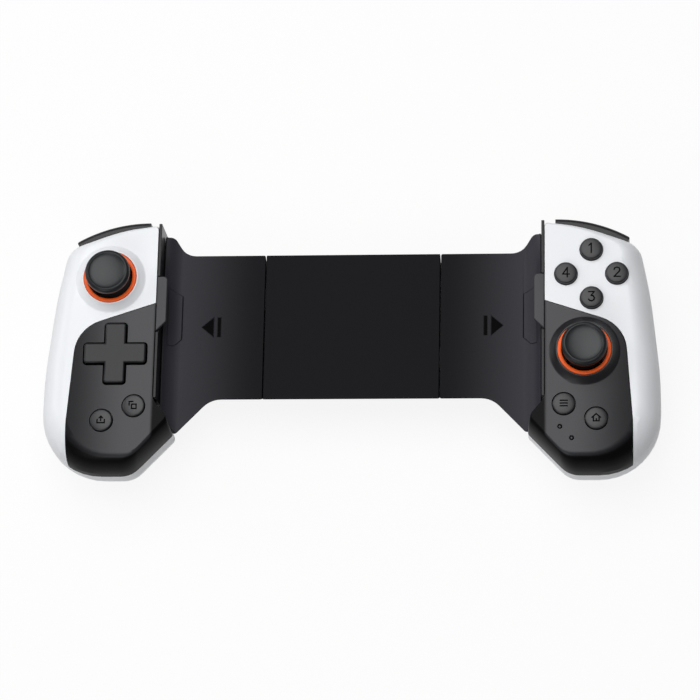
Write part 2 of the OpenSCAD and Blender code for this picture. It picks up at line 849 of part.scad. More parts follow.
// Section of a side panel and its wing at height z
function wing_ring(z) =
  let (u = undercut(z), edge = inset(grip_outline, -run_gap), toe = xy(edge[2]), bend = xy(edge[1]),
       along = unit(bend - toe), tip = toe + wing_tip_in + u * along,
       foot_y = bend.y + (wing_x - bend.x) * along.y / along.x,
       heel_x = shell_x - wing_heel, lean = atan2(bridge_lo - toe.y, toe.x - heel_x))
  [for (p = rounded([
    [panel_x, bridge_hi - u, wing_corner, 1],
    [panel_x, bridge_lo + u, wing_corner, 1],
    [heel_x + u * tan(lean / 2), bridge_lo + u, wing_heel_r, 5],
    [tip.x, tip.y, wing_tip_r, 2],
    [wing_x, foot_y, wing_corner, 1],
    [wing_x, bridge_hi + wing_ear - u, wing_tip_r, 2],
    [shell_x - wing_crest.x, bridge_hi + wing_crest.y - u, wing_crest_r, 5],
    [shell_x - wing_neck, bridge_hi - u, wing_neck_r, 5]
  ])) [p.x, p.y, z]];

// Side panel of the bridge with its wing: the arm lies above or below the pinion's line
module bridge_panel(arm_side) {
  color(black_c) difference() {
    loft([wing_ring(bridge_z), wing_ring(wing_top_z)], [wing_axis_x, bridge_y]);
    translate([0, -half_h, bridge_top]) cube([wing_axis_x, 2 * half_h, face_z]);
    wing_hollow(wing_fillet);
    intersection() {
      wing_hollow(wing_fillet + pad_t);
      translate([0, 0, bridge_z]) linear_extrude(face_z) pad_2d(0);
    }
    translate([panel_x + bridge_wall, bridge_y - room_h / 2, cavity_z])
      cube([arm_root - panel_x - bridge_wall, room_h, cavity_top - cavity_z]);
    arm_slot(panel_x - over, bridge_wall + 2 * over, arm_side);
    translate([0, 0, bridge_top - arrow_depth]) linear_extrude(over) arrow_2d();
  }
}
module arrow_2d() {
  base = arrow_tip_x - arrow_l;
  polygon([[arrow_tip_x, bridge_y], [base, bridge_y + arrow_h / 2], [base, bridge_y - arrow_h / 2]]);
  translate([base - arrow_bar_gap - arrow_bar, bridge_y - arrow_h / 2]) square([arrow_bar, arrow_h]);
}

// Way for a slide arm through a side wall at +X
module arm_slot(x, l, arm_side) {
  lo = arm_side > 0 ? bridge_y + pitch_r - rack_add - run_gap : bridge_y - arm_hi - run_gap;
  translate([x, lo, drive_z - run_gap])
    cube([l, arm_hi - pitch_r + rack_add + 2 * run_gap, drive_t + 2 * run_gap]);
}

// Centre housing: tray with a lid at the back
module centre_front_panel() {
  inside = [centre_w - 2 * bridge_wall, room_h];
  rib_y = arm_hi + run_gap;
  color(black_c) difference() {
    union() {
      difference() {
        bridge_slab(-centre_x, centre_w, cavity_z + seat_gap, bridge_top);
        translate([-inside.x / 2, bridge_y - inside.y / 2, bridge_z])
          cube([inside.x, inside.y, cavity_top - bridge_z]);
      }
      for (side = [-1, 1]) {
        translate([-inside.x / 2, bridge_y + (side > 0 ? rib_y : -rib_y - guide_t), cavity_z + seat_gap])
          cube([inside.x, guide_t, cavity_top - cavity_z]);
        translate([-side * peg_x, bridge_y + side * groove_mid, (cavity_z + cavity_top) / 2 + seat_gap])
          cube([peg_t, groove_w - 2 * run_gap, cavity_top - cavity_z], center = true);
      }
      for (p = bridge_screws_at) post(p, cavity_z + seat_gap, cavity_top - cavity_z, bridge_post_r);
    }
    for (p = bridge_screws_at)
      post(p, bridge_z, cavity_top - bridge_z - bridge_bore_end, bridge_screw_r + pin_fit);
    arm_slot(centre_x - bridge_wall - over, bridge_wall + 2 * over, -1);
    mirror([1, 0, 0]) arm_slot(centre_x - bridge_wall - over, bridge_wall + 2 * over, 1);
  }
}
module centre_back_cover() {
  color(black_c) difference() {
    bridge_slab(-centre_x, centre_w, bridge_z, cavity_z);
    for (p = bridge_screws_at) {
      post(p, bridge_z - over, bridge_wall + 2 * over, bridge_screw_r + pin_fit);
      post(p, bridge_z - over, over + bridge_head_in + bridge_head_t, bridge_head_r + seat_gap);
    }
  }
}
module bridge_screws() {
  color(steel_c) for (p = bridge_screws_at) {
    post(p, bridge_z + bridge_head_in, bridge_head_t, bridge_head_r);
    post(p, bridge_z + bridge_head_t / 2, cavity_top - bridge_z - over, bridge_screw_r);
  }
}
module pinion_pin() {
  color(steel_c) post([0, bridge_y], cavity_z, cavity_top - cavity_z, pinion_pin_r);
}

// Involute tooth of the pinion: angle of its flank at radius r, from the tooth's middle
function involute(a) = tan(a) * 180 / PI - a;
function flank(r) = tooth_half + involute(pressure) - involute(acos(min(1, base_r / r)));
function flank_at(r, side) = r * [cos(flank(r)), side * sin(flank(r))];
module tooth_2d() {
  steps = 4;
  up = [for (i = [0:steps]) base_r + (tip_r - base_r) * i / steps];
  foot = (root_r - tooth_foot) / base_r;
  polygon(concat(
    [foot * flank_at(base_r, -1)],
    [for (r = up) flank_at(r, -1)],
    [for (i = [steps:-1:0]) flank_at(up[i], 1)],
    [foot * flank_at(base_r, 1)]));
}
module pinion_gear() {
  color(steel_c) translate([0, bridge_y, drive_z]) difference() {
    union() {
      cylinder(r = root_r, h = drive_t);
      linear_extrude(drive_t) for (t = [0:pinion_teeth - 1])
        rotate(90 + 360 / pinion_teeth * (t + 0.5)) tooth_2d();
    }
    translate([0, 0, -over]) cylinder(r = pinion_pin_r + pin_fit, h = drive_t + 2 * over);
  }
}

// Left slide arm: rack above the pinion, groove for its spring, root block held in the left panel
module slide_arm() {
  half = rack_pitch / 4 - gear_play / 2;
  rise = tan(pressure);
  color(dark_c) translate([0, bridge_y, drive_z]) difference() {
    union() {
      translate([-arm_root + seat_gap, arm_lo, 0]) cube([arm_root + arm_tip - seat_gap, arm_w, drive_t]);
      translate([-arm_root + seat_gap, arm_lo - root_wide, -drive_gap])
        cube([root_l, arm_w + 2 * root_wide, drive_t + 2 * drive_gap]);
      linear_extrude(drive_t) for (x = [rack_from:rack_pitch:rack_to + gear_play]) polygon([
        [x - half - rack_ded * rise, arm_lo + tooth_root],
        [x - half - rack_ded * rise, arm_lo],
        [x - half + rack_add * rise, pitch_r - rack_add],
        [x + half - rack_add * rise, pitch_r - rack_add],
        [x + half + rack_ded * rise, arm_lo],
        [x + half + rack_ded * rise, arm_lo + tooth_root]
      ]);
    }
    translate([-peg_x - peg_t / 2 - run_gap, groove_mid - groove_w / 2, -drive_gap - over])
      cube([groove_end + peg_x + peg_t / 2 + run_gap, groove_w, drive_t + 2 * drive_gap + 2 * over]);
  }
}

// Coil between the housing's peg and the end of the arm's groove
module return_spring() {
  x0 = -peg_x + peg_t / 2 + spring_wire;
  x1 = groove_end - spring_wire;
  rings = 8;
  sides = 6;
  n = spring_turns * rings;
  points = [for (i = [0:n], s = [0:sides - 1])
    let (a = 360 * i / rings, b = 360 * s / sides, r = spring_r + spring_wire / 2 * cos(b))
    [x0 + (x1 - x0) * i / n + spring_wire / 2 * sin(b), r * cos(a), r * sin(a)]];
  walls = [for (i = [0:n - 1], s = [0:sides - 1], half = [0:1])
    let (a = i * sides + s, b = i * sides + (s + 1) % sides)
    half == 0 ? [a, b, b + sides] : [a, b + sides, a + sides]];
  ends = [[for (s = [sides - 1:-1:0]) s], [for (s = [0:sides - 1]) n * sides + s]];
  color(steel_c) translate([0, bridge_y + groove_mid, drive_z + drive_t / 2])
    polyhedron(points, concat(walls, ends));
}

// Circuit board with switch domes, cut out for the stick's housing and the shoulder pieces
module circuit_board(stick_at, domes, dpad_post) {
  post_x = dpad_post_in + dpad_post_t / 2;
  post_h = dpad_post_top - board_z;
  pts = rounded(inset(grip_outline, wall + board_in));
  color(board_c) difference() {
    union() {
      translate([0, 0, board_z]) linear_extrude(board_t) polygon([for (p = pts) drawn_in(p, board_draw)]);
      for (d = domes) post(d, board_z, board_t + dome_t, dome_r);
      if (dpad_post) for (side = [-1, 1])
        translate([lower_at.x + side * post_x, lower_at.y, dpad_post_top - post_h / 2])
          cube([dpad_post_t, dpad_post_w, post_h], center = true);
    }
    translate([stick_at.x, stick_at.y, board_z])
      cube([2 * (housing_half + seat_gap), 2 * (housing_half + seat_gap), 4 * board_t], center = true);
    for (s = screw_at) post(s, board_z - over, board_t + 2 * over, screw_r + pin_fit);
    sector(bumper_back - over, 2 * shoulder_r, arc_ends, board_z - over, board_t + 2 * over);
    if (dpad_post)
      rod_x([lower_at.x - dpad_span / 2, lower_at.y, dpad_pivot_z], dpad_span, dpad_axle_r + pin_fit);
  }
}

module shell_screws() {
  color(steel_c) for (s = screw_at) {
    post(s, head_z, head_t - pin_fit, head_r);
    post(s, head_z + head_t / 2, roof_z - shank_end - head_z - head_t / 2, screw_r);
  }
}

// Upright bumper pin and level trigger pin
module shoulder_pins() {
  pin_x = trigger_x[0] - cheek_t - run_gap;
  color(steel_c) {
    post(bumper_pin_at, shelf_z + pin_play, roof_z - bumper_pin_end - shelf_z - pin_play, shoulder_pin_r);
    rod_x([pin_x, trigger_pin_at.x, trigger_pin_at.y],
      trigger_x[1] + cheek_t + run_gap - pin_x, shoulder_pin_r);
  }
}
module battery() {
  color(foil_c) translate([battery_x[0], palm.y - battery_l / 2 - battery_shift, wall + battery_lift])
    cube([battery_x[1] - battery_x[0], battery_l, battery_t]);
}
module right_charging_port() {
  color(steel_c) translate([port_at.x, port_at.y, port_at.z]) rotate([-90, 0, 0]) difference() {
    linear_extrude(port_l) soft_rect(port_w, port_h, port_h / 2 - port_flat);
    translate([0, 0, -over]) linear_extrude(port_l - port_back + over) difference() {
      soft_rect(port_w - 2 * port_metal, port_h - 2 * port_metal, port_h / 2 - port_metal - port_flat);
      square(port_tongue, center = true);
    }
  }
}
module right_indicator_lights() {
  color(lens_c) for (p = light_at)
    post(p, board_top + seat_gap, face_z - light_sunk - board_top - seat_gap, light_r);
}

// Stick, from its housing up to the thumb cap
module stick_housing(at) {
  color(black_c) translate([at.x, at.y, 0]) difference() {
    translate([-housing_half, -housing_half, housing_bottom])
      cube([2 * housing_half, 2 * housing_half, housing_top - housing_bottom]);
    translate([-housing_in, -housing_in, housing_bottom + housing_floor])
      cube([2 * housing_in, 2 * housing_in, housing_top]);
    rod_x([-housing_half - over, 0, pivot_z], 2 * (housing_half + over), axle_r + pin_fit);
  }
}
module stick_yoke(at) {
  color(dark_c) translate([at.x, at.y, pivot_z]) difference() {
    union() {
      cube([2 * yoke_half, 2 * yoke_half, yoke_t], center = true);
      rod_x([-housing_half + axle_end, 0, 0], 2 * (housing_half - axle_end), axle_r);
    }
    cube([2 * yoke_in, 2 * yoke_in, yoke_t + 2 * over], center = true);
    rod_y([0, -yoke_half - over, 0], 2 * (yoke_half + over), axle_r + pin_fit);
  }
}
module stick_shaft(at) {
  color(dark_c) translate([at.x, at.y, pivot_z]) union() {
    rod_y([0, -yoke_half + axle_end, 0], 2 * (yoke_half - axle_end), axle_r);
    translate([0, 0, -yoke_t / 2]) cylinder(r = yoke_in - yoke_side_gap, h = yoke_t);
    cylinder(r = shaft_r, h = cap_bottom + cap_t - cap_roof - stick_click - run_gap - pivot_z);
    difference() {
      sphere(r = cup_r);
      sphere(r = cup_r - cup_t);
      translate([0, 0, cup_r * cos(cup_angle) - 2 * cup_r]) cylinder(r = 2 * cup_r, h = 2 * cup_r);
    }
  }
}
module stick_cap(at) {
  crown = cap_bottom + cap_t;
  color(black_c) translate([at.x, at.y, 0]) difference() {
    rotate_extrude() polygon(rounded([
      [0, neck_bottom, 0, 0], [neck_r, neck_bottom, 0, 0], [neck_r, cap_bottom, 0, 0],
      [cap_r, cap_bottom, cap_edge, 2], [cap_r, crown, cap_round, 5], [cap_r - cap_rim, crown, 0, 0],
      [cap_r - cap_dish.x, crown - cap_dish.y, 0, 0], [0, crown - cap_dish.y, 0, 0]
    ]));
    translate([0, 0, neck_bottom - over])
      cylinder(r = shaft_r + pin_fit, h = crown - cap_roof - neck_bottom + over);
  }
}
module stick_ring(at) {
  color(orange_c) translate([at.x, at.y, ring_top - ring_t]) difference() {
    cylinder(r = ring_r, h = ring_t);
    translate([0, 0, -over]) cylinder(r = ring_inner, h = ring_t + 2 * over);
  }
}

// Push button with a low dome, a flange under the skin and a stem over its switch
module push_button(at, r, h) {
  top = face_z + h;
  flange_r = r + button_gap + flange_over;
  color(dark_c) translate([at.x, at.y, 0]) rotate_extrude() polygon(rounded([
    [0, stem_bottom, 0, 0], [stem_r, stem_bottom, 0, 0], [stem_r, flange_top - flange_t, 0, 0],
    [flange_r, flange_top - flange_t, 0, 0], [flange_r, flange_top, 0, 0], [r, flange_top, 0, 0],
    [r, top - crown_drop, crown_round, 4], [0, top, 0, 0]
  ]));
}
function face_button_at(b) = face_at + face_button_pitch * [cos(90 - 90 * b), sin(90 - 90 * b)];

// D-pad on a cross-shaped pivot
module left_dpad_pivot() {
  on_left() color(steel_c) translate([lower_at.x, lower_at.y, dpad_pivot_z]) union() {
    cube([dpad_block, dpad_block, dpad_block_h], center = true);
    rod_x([-dpad_axle_l, 0, 0], 2 * dpad_axle_l, dpad_axle_r);
    rod_y([0, -dpad_axle_l, 0], 2 * dpad_axle_l, dpad_axle_r);
  }
}
module left_dpad() {
  room = [dpad_post_in + dpad_post_t + dpad_end_gap, dpad_post_w / 2 + dpad_side_gap];
  eye = [dpad_block / 2 + dpad_block_gap, dpad_axle_l - dpad_eye_t];
  room_h = dpad_room_z - dpad_bottom + over;
  on_left() color(dark_c) translate([lower_at.x, lower_at.y, 0]) difference() {
    union() {
      translate([0, 0, dpad_bottom]) linear_extrude(face_z + dpad_h - dpad_bottom) cross_2d(0);
      translate([0, 0, dpad_bottom]) cylinder(r = dpad_skirt_r, h = dpad_skirt_t);
    }
    for (half = [room, eye]) translate([-half.x, -half.y, dpad_bottom - over])
      cube([2 * half.x, 2 * half.y, room_h]);
    rod_y([0, -dpad_axle_l - axle_end, dpad_pivot_z], 2 * (dpad_axle_l + axle_end), dpad_axle_r + pin_fit);
  }
}

// Cutter that rounds the outer corner at an end of the bumper
module end_round(r) {
  translate([shoulder_r - r + bumper_edge, r - bumper_edge, 0]) difference() {
    translate([0, -2 * r, 0]) cube([2 * r, 2 * r, bumper_t + 2 * over]);
    cylinder(r = r, h = bumper_t + 2 * over);
  }
}

// Bumper: a bar along the shoulder arc that swings on its inner end
module bumper() {
  r0 = shoulder_r - bumper_depth;
  bar = rounded([
    [r0, 0, bumper_edge, 1], [shoulder_r, 0, bumper_soft, 4],
    [shoulder_r, bumper_t, bumper_soft, 4], [r0, bumper_t, bumper_edge, 1]
  ]);
  color(black_c) difference() {
    union() {
      translate([arc_at.x, arc_at.y, bumper_z]) rotate([0, 0, bumper_arc[0]])
        rotate_extrude(angle = bumper_arc[1] - bumper_arc[0]) polygon(bar);
      post(bumper_pin_at, bumper_z, bumper_t, bumper_eye_r);
    }
    for (end = [0, 1]) translate([arc_at.x, arc_at.y, bumper_z - over]) rotate([0, 0, bumper_arc[end]])
      mirror([0, end, 0]) end_round(bumper_round[end]);
    post(bumper_pin_at, bumper_z - over, bumper_t + 2 * over, shoulder_pin_r + pin_fit);
  }
}

// Trigger: a curved blade along the same arc, on a level pin
module trigger() {
  nose_r = shoulder_r - trigger_tip_in;
  front_r = shoulder_r - blade_in;
  blade = rounded([
    [front_r - blade_top_t, trigger_top, 0, 0],
    [nose_r - blade_tip_t / 2, trigger_lo_z, blade_tip_t / 2, 2],
    [nose_r + blade_tip_t / 2, trigger_lo_z, blade_tip_t, 4],
    [front_r, trigger_lo_z + blade_rise, blade_rise, 4],
    [front_r, trigger_top, blade_soft, 3]
  ]);
  eye_l = trigger_eye_x[1] - trigger_eye_x[0];
  color(black_c) difference() {
    union() {
      translate([arc_at.x, arc_at.y, 0]) rotate([0, 0, trigger_arc[0]])
        rotate_extrude(angle = trigger_arc[1] - trigger_arc[0]) polygon(blade);
      rod_x([trigger_eye_x[0], trigger_pin_at.x, trigger_pin_at.y], eye_l, trigger_eye_r);
      translate([trigger_eye_x[0], trigger_pin_at.x, trigger_pin_at.y - trigger_web.z / 2]) cube(trigger_web);
    }
    rod_x([trigger_x[0] - over, trigger_pin_at.x, trigger_pin_at.y],
      trigger_x[1] - trigger_x[0] + 2 * over, shoulder_pin_r + pin_fit);
  }
}

// Left grip
module left_return_spring() { return_spring(); }
module left_bridge_panel() { on_left() bridge_panel(1); }
module left_slide_arm() { slide_arm(); }
module left_inner_wall() { on_left() inner_wall(); }
module left_phone_lip() { on_left() phone_lip(); }
module left_wing_pad() { on_left() wing_pad(); }
module left_rear_shell() { on_left() rear_shell(false); }
module left_front_cover() { on_left() front_cover(true); }
module left_front_plate() { on_left() front_plate(false); }
module left_circuit_board() { on_left() circuit_board(upper_at, [inner_button_at, outer_button_at], true); }
module left_shell_screws() { on_left() shell_screws(); }
module left_shoulder_pins() { on_left() shoulder_pins(); }
module left_battery() { on_left() battery(); }
module left_stick_housing() { on_left() stick_housing(upper_at); }
module left_stick_ring() { on_left() stick_ring(upper_at); }
module left_stick_yoke() { on_left() stick_yoke(upper_at); }
module left_stick_shaft() { on_left() stick_shaft(upper_at); }
module left_stick_cap() { on_left() stick_cap(upper_at); }
module left_view_button() { on_left() push_button(inner_button_at, small_button_r, small_button_h); }
module left_capture_button() { on_left() push_button(outer_button_at, small_button_r, small_button_h); }
module left_bumper() { on_left() bumper(); }
module left_trigger() { on_left() trigger(); }

// Right grip
module right_return_spring() { half_turn() return_spring(); }
module right_bridge_panel() { bridge_panel(-1); }
module right_slide_arm() { half_turn() slide_arm(); }
module right_inner_wall() { inner_wall(); }
module right_phone_lip() { phone_lip(); }
module right_wing_pad() { wing_pad(); }
module right_rear_shell() { rear_shell(true); }
module right_front_cover() { front_cover(false); }
module right_front_plate() { front_plate(true); }
module right_circuit_board() {
  face_domes = [for (b = [0:3]) face_button_at(b)];
  circuit_board(lower_at, concat(face_domes, [inner_button_at, outer_button_at]), false);
}
module right_shell_screws() { shell_screws(); }
module right_shoulder_pins() { shoulder_pins(); }
module right_stick_housing() { stick_housing(lower_at); }
module right_stick_ring() { stick_ring(lower_at); }
module right_stick_yoke() { stick_yoke(lower_at); }
module right_stick_shaft() { stick_shaft(lower_at); }
module right_stick_cap() { stick_cap(lower_at); }
module face_button_1() { push_button(face_button_at(0), face_button_r, face_button_h); }
module face_button_2() { push_button(face_button_at(1), face_button_r, face_button_h); }
module face_button_3() { push_button(face_button_at(2), face_button_r, face_button_h); }
module face_button_4() { push_button(face_button_at(3), face_button_r, face_button_h); }
module right_menu_button() { push_button(inner_button_at, small_button_r, small_button_h); }
module right_home_button() { push_button(outer_button_at, small_button_r, small_button_h); }
module right_bumper() { bumper(); }
module right_trigger() { trigger(); }

centre_front_panel();
centre_back_cover();
pinion_pin();
bridge_screws();
left_return_spring();
right_return_spring();
pinion_gear();
left_bridge_panel();
left_slide_arm();
left_inner_wall();
left_phone_lip();
left_wing_pad();
left_rear_shell();
left_front_cover();
left_front_plate();
left_circuit_board();
left_shell_screws();
left_shoulder_pins();
left_battery();
left_stick_housing();
left_stick_ring();
left_stick_yoke();
left_stick_shaft();
left_stick_cap();
left_dpad_pivot();
left_dpad();
left_view_button();
left_capture_button();
left_bumper();
left_trigger();
right_bridge_panel();
right_slide_arm();
right_inner_wall();
right_phone_lip();
right_wing_pad();
right_rear_shell();
right_front_cover();
right_front_plate();
right_circuit_board();
right_shell_screws();
right_shoulder_pins();
right_charging_port();
right_indicator_lights();
right_stick_housing();
right_stick_ring();
right_stick_yoke();
right_stick_shaft();
right_stick_cap();
face_button_1();
face_button_2();
face_button_3();
face_button_4();
right_menu_button();
right_home_button();
right_bumper();
right_trigger();
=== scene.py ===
# %% [markdown]
# # A stretching game controller for a phone
# Two moulded grips slide apart on a flat bridge and hold a phone between them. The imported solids
# already have the right sizes, joints and places. This lesson gives each of them the surface that
# the real piece has, cell by cell, and never moves a solid.

# %% Load the frame
import json
import math

import bmesh
import bpy
from mathutils import Matrix, Vector


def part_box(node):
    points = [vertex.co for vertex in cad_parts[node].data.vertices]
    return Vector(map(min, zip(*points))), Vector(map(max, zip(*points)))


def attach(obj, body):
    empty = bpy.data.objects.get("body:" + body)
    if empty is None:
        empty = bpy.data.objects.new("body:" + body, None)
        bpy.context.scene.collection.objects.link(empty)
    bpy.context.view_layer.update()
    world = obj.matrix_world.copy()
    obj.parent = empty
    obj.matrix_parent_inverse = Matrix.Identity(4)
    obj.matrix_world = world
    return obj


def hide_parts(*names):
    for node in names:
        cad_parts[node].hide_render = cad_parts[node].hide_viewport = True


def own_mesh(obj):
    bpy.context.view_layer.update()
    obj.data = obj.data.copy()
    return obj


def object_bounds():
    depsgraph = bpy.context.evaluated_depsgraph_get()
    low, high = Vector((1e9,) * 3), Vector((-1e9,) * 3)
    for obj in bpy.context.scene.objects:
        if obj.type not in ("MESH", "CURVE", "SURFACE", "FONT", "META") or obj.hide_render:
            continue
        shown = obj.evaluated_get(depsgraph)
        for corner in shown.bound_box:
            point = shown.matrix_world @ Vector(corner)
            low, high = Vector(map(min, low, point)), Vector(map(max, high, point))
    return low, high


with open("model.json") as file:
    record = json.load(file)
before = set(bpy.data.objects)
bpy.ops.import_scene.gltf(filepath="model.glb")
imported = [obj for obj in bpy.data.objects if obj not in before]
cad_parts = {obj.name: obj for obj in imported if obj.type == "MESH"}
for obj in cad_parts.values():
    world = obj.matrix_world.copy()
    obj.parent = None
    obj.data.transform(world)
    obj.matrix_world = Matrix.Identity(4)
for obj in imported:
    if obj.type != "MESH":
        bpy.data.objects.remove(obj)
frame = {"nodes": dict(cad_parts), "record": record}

MM = 0.001
SIDES = {"left": -1, "right": 1}
scene = bpy.context.scene
cad_low, cad_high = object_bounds()
face_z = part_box("left_front_plate")[1].z / MM
dpad_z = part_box("left_dpad")[1].z / MM
body_of = {n: b for b, nodes in frame["record"]["behaviour"]["bodies"].items() for n in nodes}
print("CAD box in mm:", [round(v / MM, 1) for v in cad_high - cad_low])

# %% [markdown]
# ## The camera
# The photograph looks down on a controller that lies on its back, from a little below its handles
# and a little to its right, with a long lens. A camera could be placed by eye, but its place follows
# from three angles, a distance and the scale in pixels per millimetre, so those are written down.

# %% Camera at the photograph's view
PHOTO_PX = 700
PX_PER_MM = 2.81
SENSOR_MM = 36
TILT = math.radians(17)
SWING = math.radians(5)
ROLL = math.radians(1.1)
DISTANCE = 1065 * MM
AIM = Vector((0, -1.93, 25)) * MM
AIM_BELOW_CENTRE_PX = 1

back = Vector((math.sin(SWING) * math.cos(TILT), -math.sin(TILT), math.cos(SWING) * math.cos(TILT)))
level = Vector((0, 1, 0)).cross(back).normalized()
upright = back.cross(level)
right = math.cos(ROLL) * level + math.sin(ROLL) * upright
up = math.cos(ROLL) * upright - math.sin(ROLL) * level

camera = bpy.data.objects.new("camera", bpy.data.cameras.new("camera"))
camera.data.sensor_width = SENSOR_MM
camera.data.lens = SENSOR_MM * PX_PER_MM * DISTANCE / MM / PHOTO_PX
centre = AIM + up * AIM_BELOW_CENTRE_PX / PX_PER_MM * MM
facing = Matrix((right, up, back)).transposed().to_4x4()
camera.matrix_world = Matrix.Translation(centre + back * DISTANCE) @ facing
scene.collection.objects.link(camera)
scene.camera = camera
print("lens in mm:", round(camera.data.lens, 1))

# %% [markdown]
# ## One helper for every material
# A material is a small graph of nodes. Colours are written as sRGB hex codes, as a paint chart gives
# them, and turned to linear light once. One function adds a node, sets its values and joins its
# links, so that each finish below reads from top to bottom.

# %% Colour and node helpers
def tint(code):
    """Linear colour of an sRGB hex code."""
    parts = [int(code[i:i + 2], 16) / 255 for i in (1, 3, 5)]
    return (*[p / 12.92 if p <= 0.04045 else ((p + 0.055) / 1.055) ** 2.4 for p in parts], 1)


def add(tree, kind, values=None, links=None, **settings):
    """A new node with its settings, input values and links."""
    made = tree.nodes.new(kind)
    for name, value in settings.items():
        setattr(made, name, value)
    for socket, value in (values or {}).items():
        made.inputs[socket].default_value = value
    for socket, source in (links or {}).items():
        tree.links.new(source, made.inputs[socket])
    return made


def blank_material(name):
    """An empty material with its tree, object coordinates and shader."""
    material = bpy.data.materials.new(name)
    material.use_nodes = True
    tree = material.node_tree
    shader = tree.nodes["Principled BSDF"]
    place = add(tree, "ShaderNodeTexCoord").outputs["Object"]
    return material, tree, shader, place


# %% [markdown]
# ## Moulded plastics
# Nearly all of the controller is injection-moulded ABS. The tool's spark-eroded wall leaves a fine
# grain on it, which blurs reflections, and thickness and flow make the tone drift a little over a few
# centimetres. A flat colour would look like paper, so each plastic gets a drift of tone, a drift of
# gloss and a grain that bumps the surface. The real grain is about 0.1 mm, too fine for the render, so
# it is drawn at 0.3 mm or more.
#
# Some mouldings are painted darker where they turn away from the face, as painted shade, and lose shine
# there too; the bridge's wings are painted lighter towards the grips, as painted light. A band says along
# which axis and between which two places, in millimetres, the tone and the shine pass over to those of that
# zone.

# %% Moulded plastic
GLOSS_DRIFT = 0.05


def moulded(name, light, dark, roughness, grain_mm, grain_height_mm, specular=0.5, bands=(), drift_mm=30):
    """Moulded plastic or rubber; a band (axis, start, end, colour, shine) paints shade or light by place.
    """
    material, tree, shader, place = blank_material(name)
    shader.inputs["Specular IOR Level"].default_value = specular
    drift = add(tree, "ShaderNodeTexNoise", {"Scale": 1 / (drift_mm * MM), "Detail": 2}, {"Vector": place})
    tone = add(tree, "ShaderNodeMix", {"A": tint(dark), "B": tint(light)},
               {"Factor": drift.outputs["Fac"]}, data_type="RGBA")
    shine_mix = None
    # Each band mixes in its painted shade or painted light by place, and changes the shine with it.
    for axis, start_mm, end_mm, code, shine in bands:
        split = add(tree, "ShaderNodeSeparateXYZ", links={"Vector": place})
        out = add(tree, "ShaderNodeMath", links={0: split.outputs[axis]}, operation="ABSOLUTE")
        share = add(tree, "ShaderNodeMapRange", {"From Min": start_mm * MM, "From Max": end_mm * MM},
                    {"Value": out.outputs[0]}, interpolation_type="SMOOTHSTEP")
        by_share = {"Factor": share.outputs["Result"]}
        tone = add(tree, "ShaderNodeMix", {"B": tint(code)}, {"A": tone.outputs["Result"], **by_share},
                   data_type="RGBA")
        before = {"A": shine_mix.outputs["Result"]} if shine_mix else {}
        shine_mix = add(tree, "ShaderNodeMix", {"A": specular, "B": shine}, {**before, **by_share})
        tree.links.new(shine_mix.outputs["Result"], shader.inputs["Specular IOR Level"])
    tree.links.new(tone.outputs["Result"], shader.inputs["Base Color"])
    grain = add(tree, "ShaderNodeTexNoise", {"Scale": 1 / (grain_mm * MM), "Detail": 3}, {"Vector": place})
    gloss = add(tree, "ShaderNodeMapRange",
                {"To Min": roughness - GLOSS_DRIFT, "To Max": roughness + GLOSS_DRIFT},
                {"Value": grain.outputs["Fac"]})
    tree.links.new(gloss.outputs["Result"], shader.inputs["Roughness"])
    bump = add(tree, "ShaderNodeBump", {"Strength": 0.5, "Distance": grain_height_mm * MM},
               {"Height": grain.outputs["Fac"]})
    tree.links.new(bump.outputs["Normal"], shader.inputs["Normal"])
    return material


# %% [markdown]
# ### The finishes one by one
# The covers and shells are white satin ABS, bright with a soft highlight. The plates, bumpers and buttons
# are the same plastic in charcoal and black with a low sheen, and the bridge is coarser and nearly matte.
# The walls at the phone's ends are polished, so a clearer reflection lies on them. The lips and the stick
# caps are rubber: the lips dull and greyer than the plastic next to them, the caps smooth with a wide
# highlight. The collar rings are orange right through, and the sunk marks are dead flat black. Inside,
# nylon looks dull and coarse from its glass fibre. The light lenses are frosted, so they are an even grey
# while unlit and show nothing behind them.

# %% The plastics and rubbers of the controller
# Painted shade: the plate's rolled edge below its face is painted near-black, with little shine.
rolled_edge_painted_shade = ("Z", face_z, face_z - 0.9, "#09090a", 0.06)
# The mound round the stick: painted shade darkens its colour, and a higher shine gives it a glossier
# finish.
mound = ("Z", face_z + 0.1, face_z + 0.6, "#161619", 0.4)
# Painted shade: the plate's inner edge by the phone's slot is painted near-black.
inner_side_painted_shade = ("X", 70.2, 68.8, "#09090a", 0.06)
# Painted shade: the plate is painted darker towards its outer side.
outer_side_painted_shade = ("X", 77, 101, "#18181b", 0.1)
# Painted light: the bridge's wings are painted lighter towards the grips, a painted sheen, with more shine.
wing_painted_light = ("X", 32, 74, "#36353c", 0.2)
# Painted shade: the direction pad's rounded sides below its top are painted near-black.
dpad_edge_painted_shade = ("Z", dpad_z - 0.1, dpad_z - 0.8, "#09090a", 0.08)
white_abs = moulded("white_satin_abs", "#f0f2f5", "#eaecf0", 0.36, 0.35, 0.008)
charcoal_abs = moulded("charcoal_satin_abs", "#303034", "#2c2c30", 0.36, 0.4, 0.01, specular=0.35,
                       bands=[inner_side_painted_shade, outer_side_painted_shade, mound, rolled_edge_painted_shade])
bridge_abs = moulded("black_matte_abs", "#0f0f13", "#0e0d11", 0.5, 0.4, 0.015, specular=0.07,
                     bands=[wing_painted_light])
wall_abs = moulded("black_gloss_abs", "#121214", "#101012", 0.3, 0.4, 0.005, specular=0.25)
lip_rubber = moulded("grey_soft_touch_rubber", "#3e3e42", "#38383c", 0.5, 0.5, 0.02, specular=0.4)
shoulder_abs = moulded("black_satin_abs", "#1a1a1d", "#161619", 0.36, 0.35, 0.008, specular=0.35)
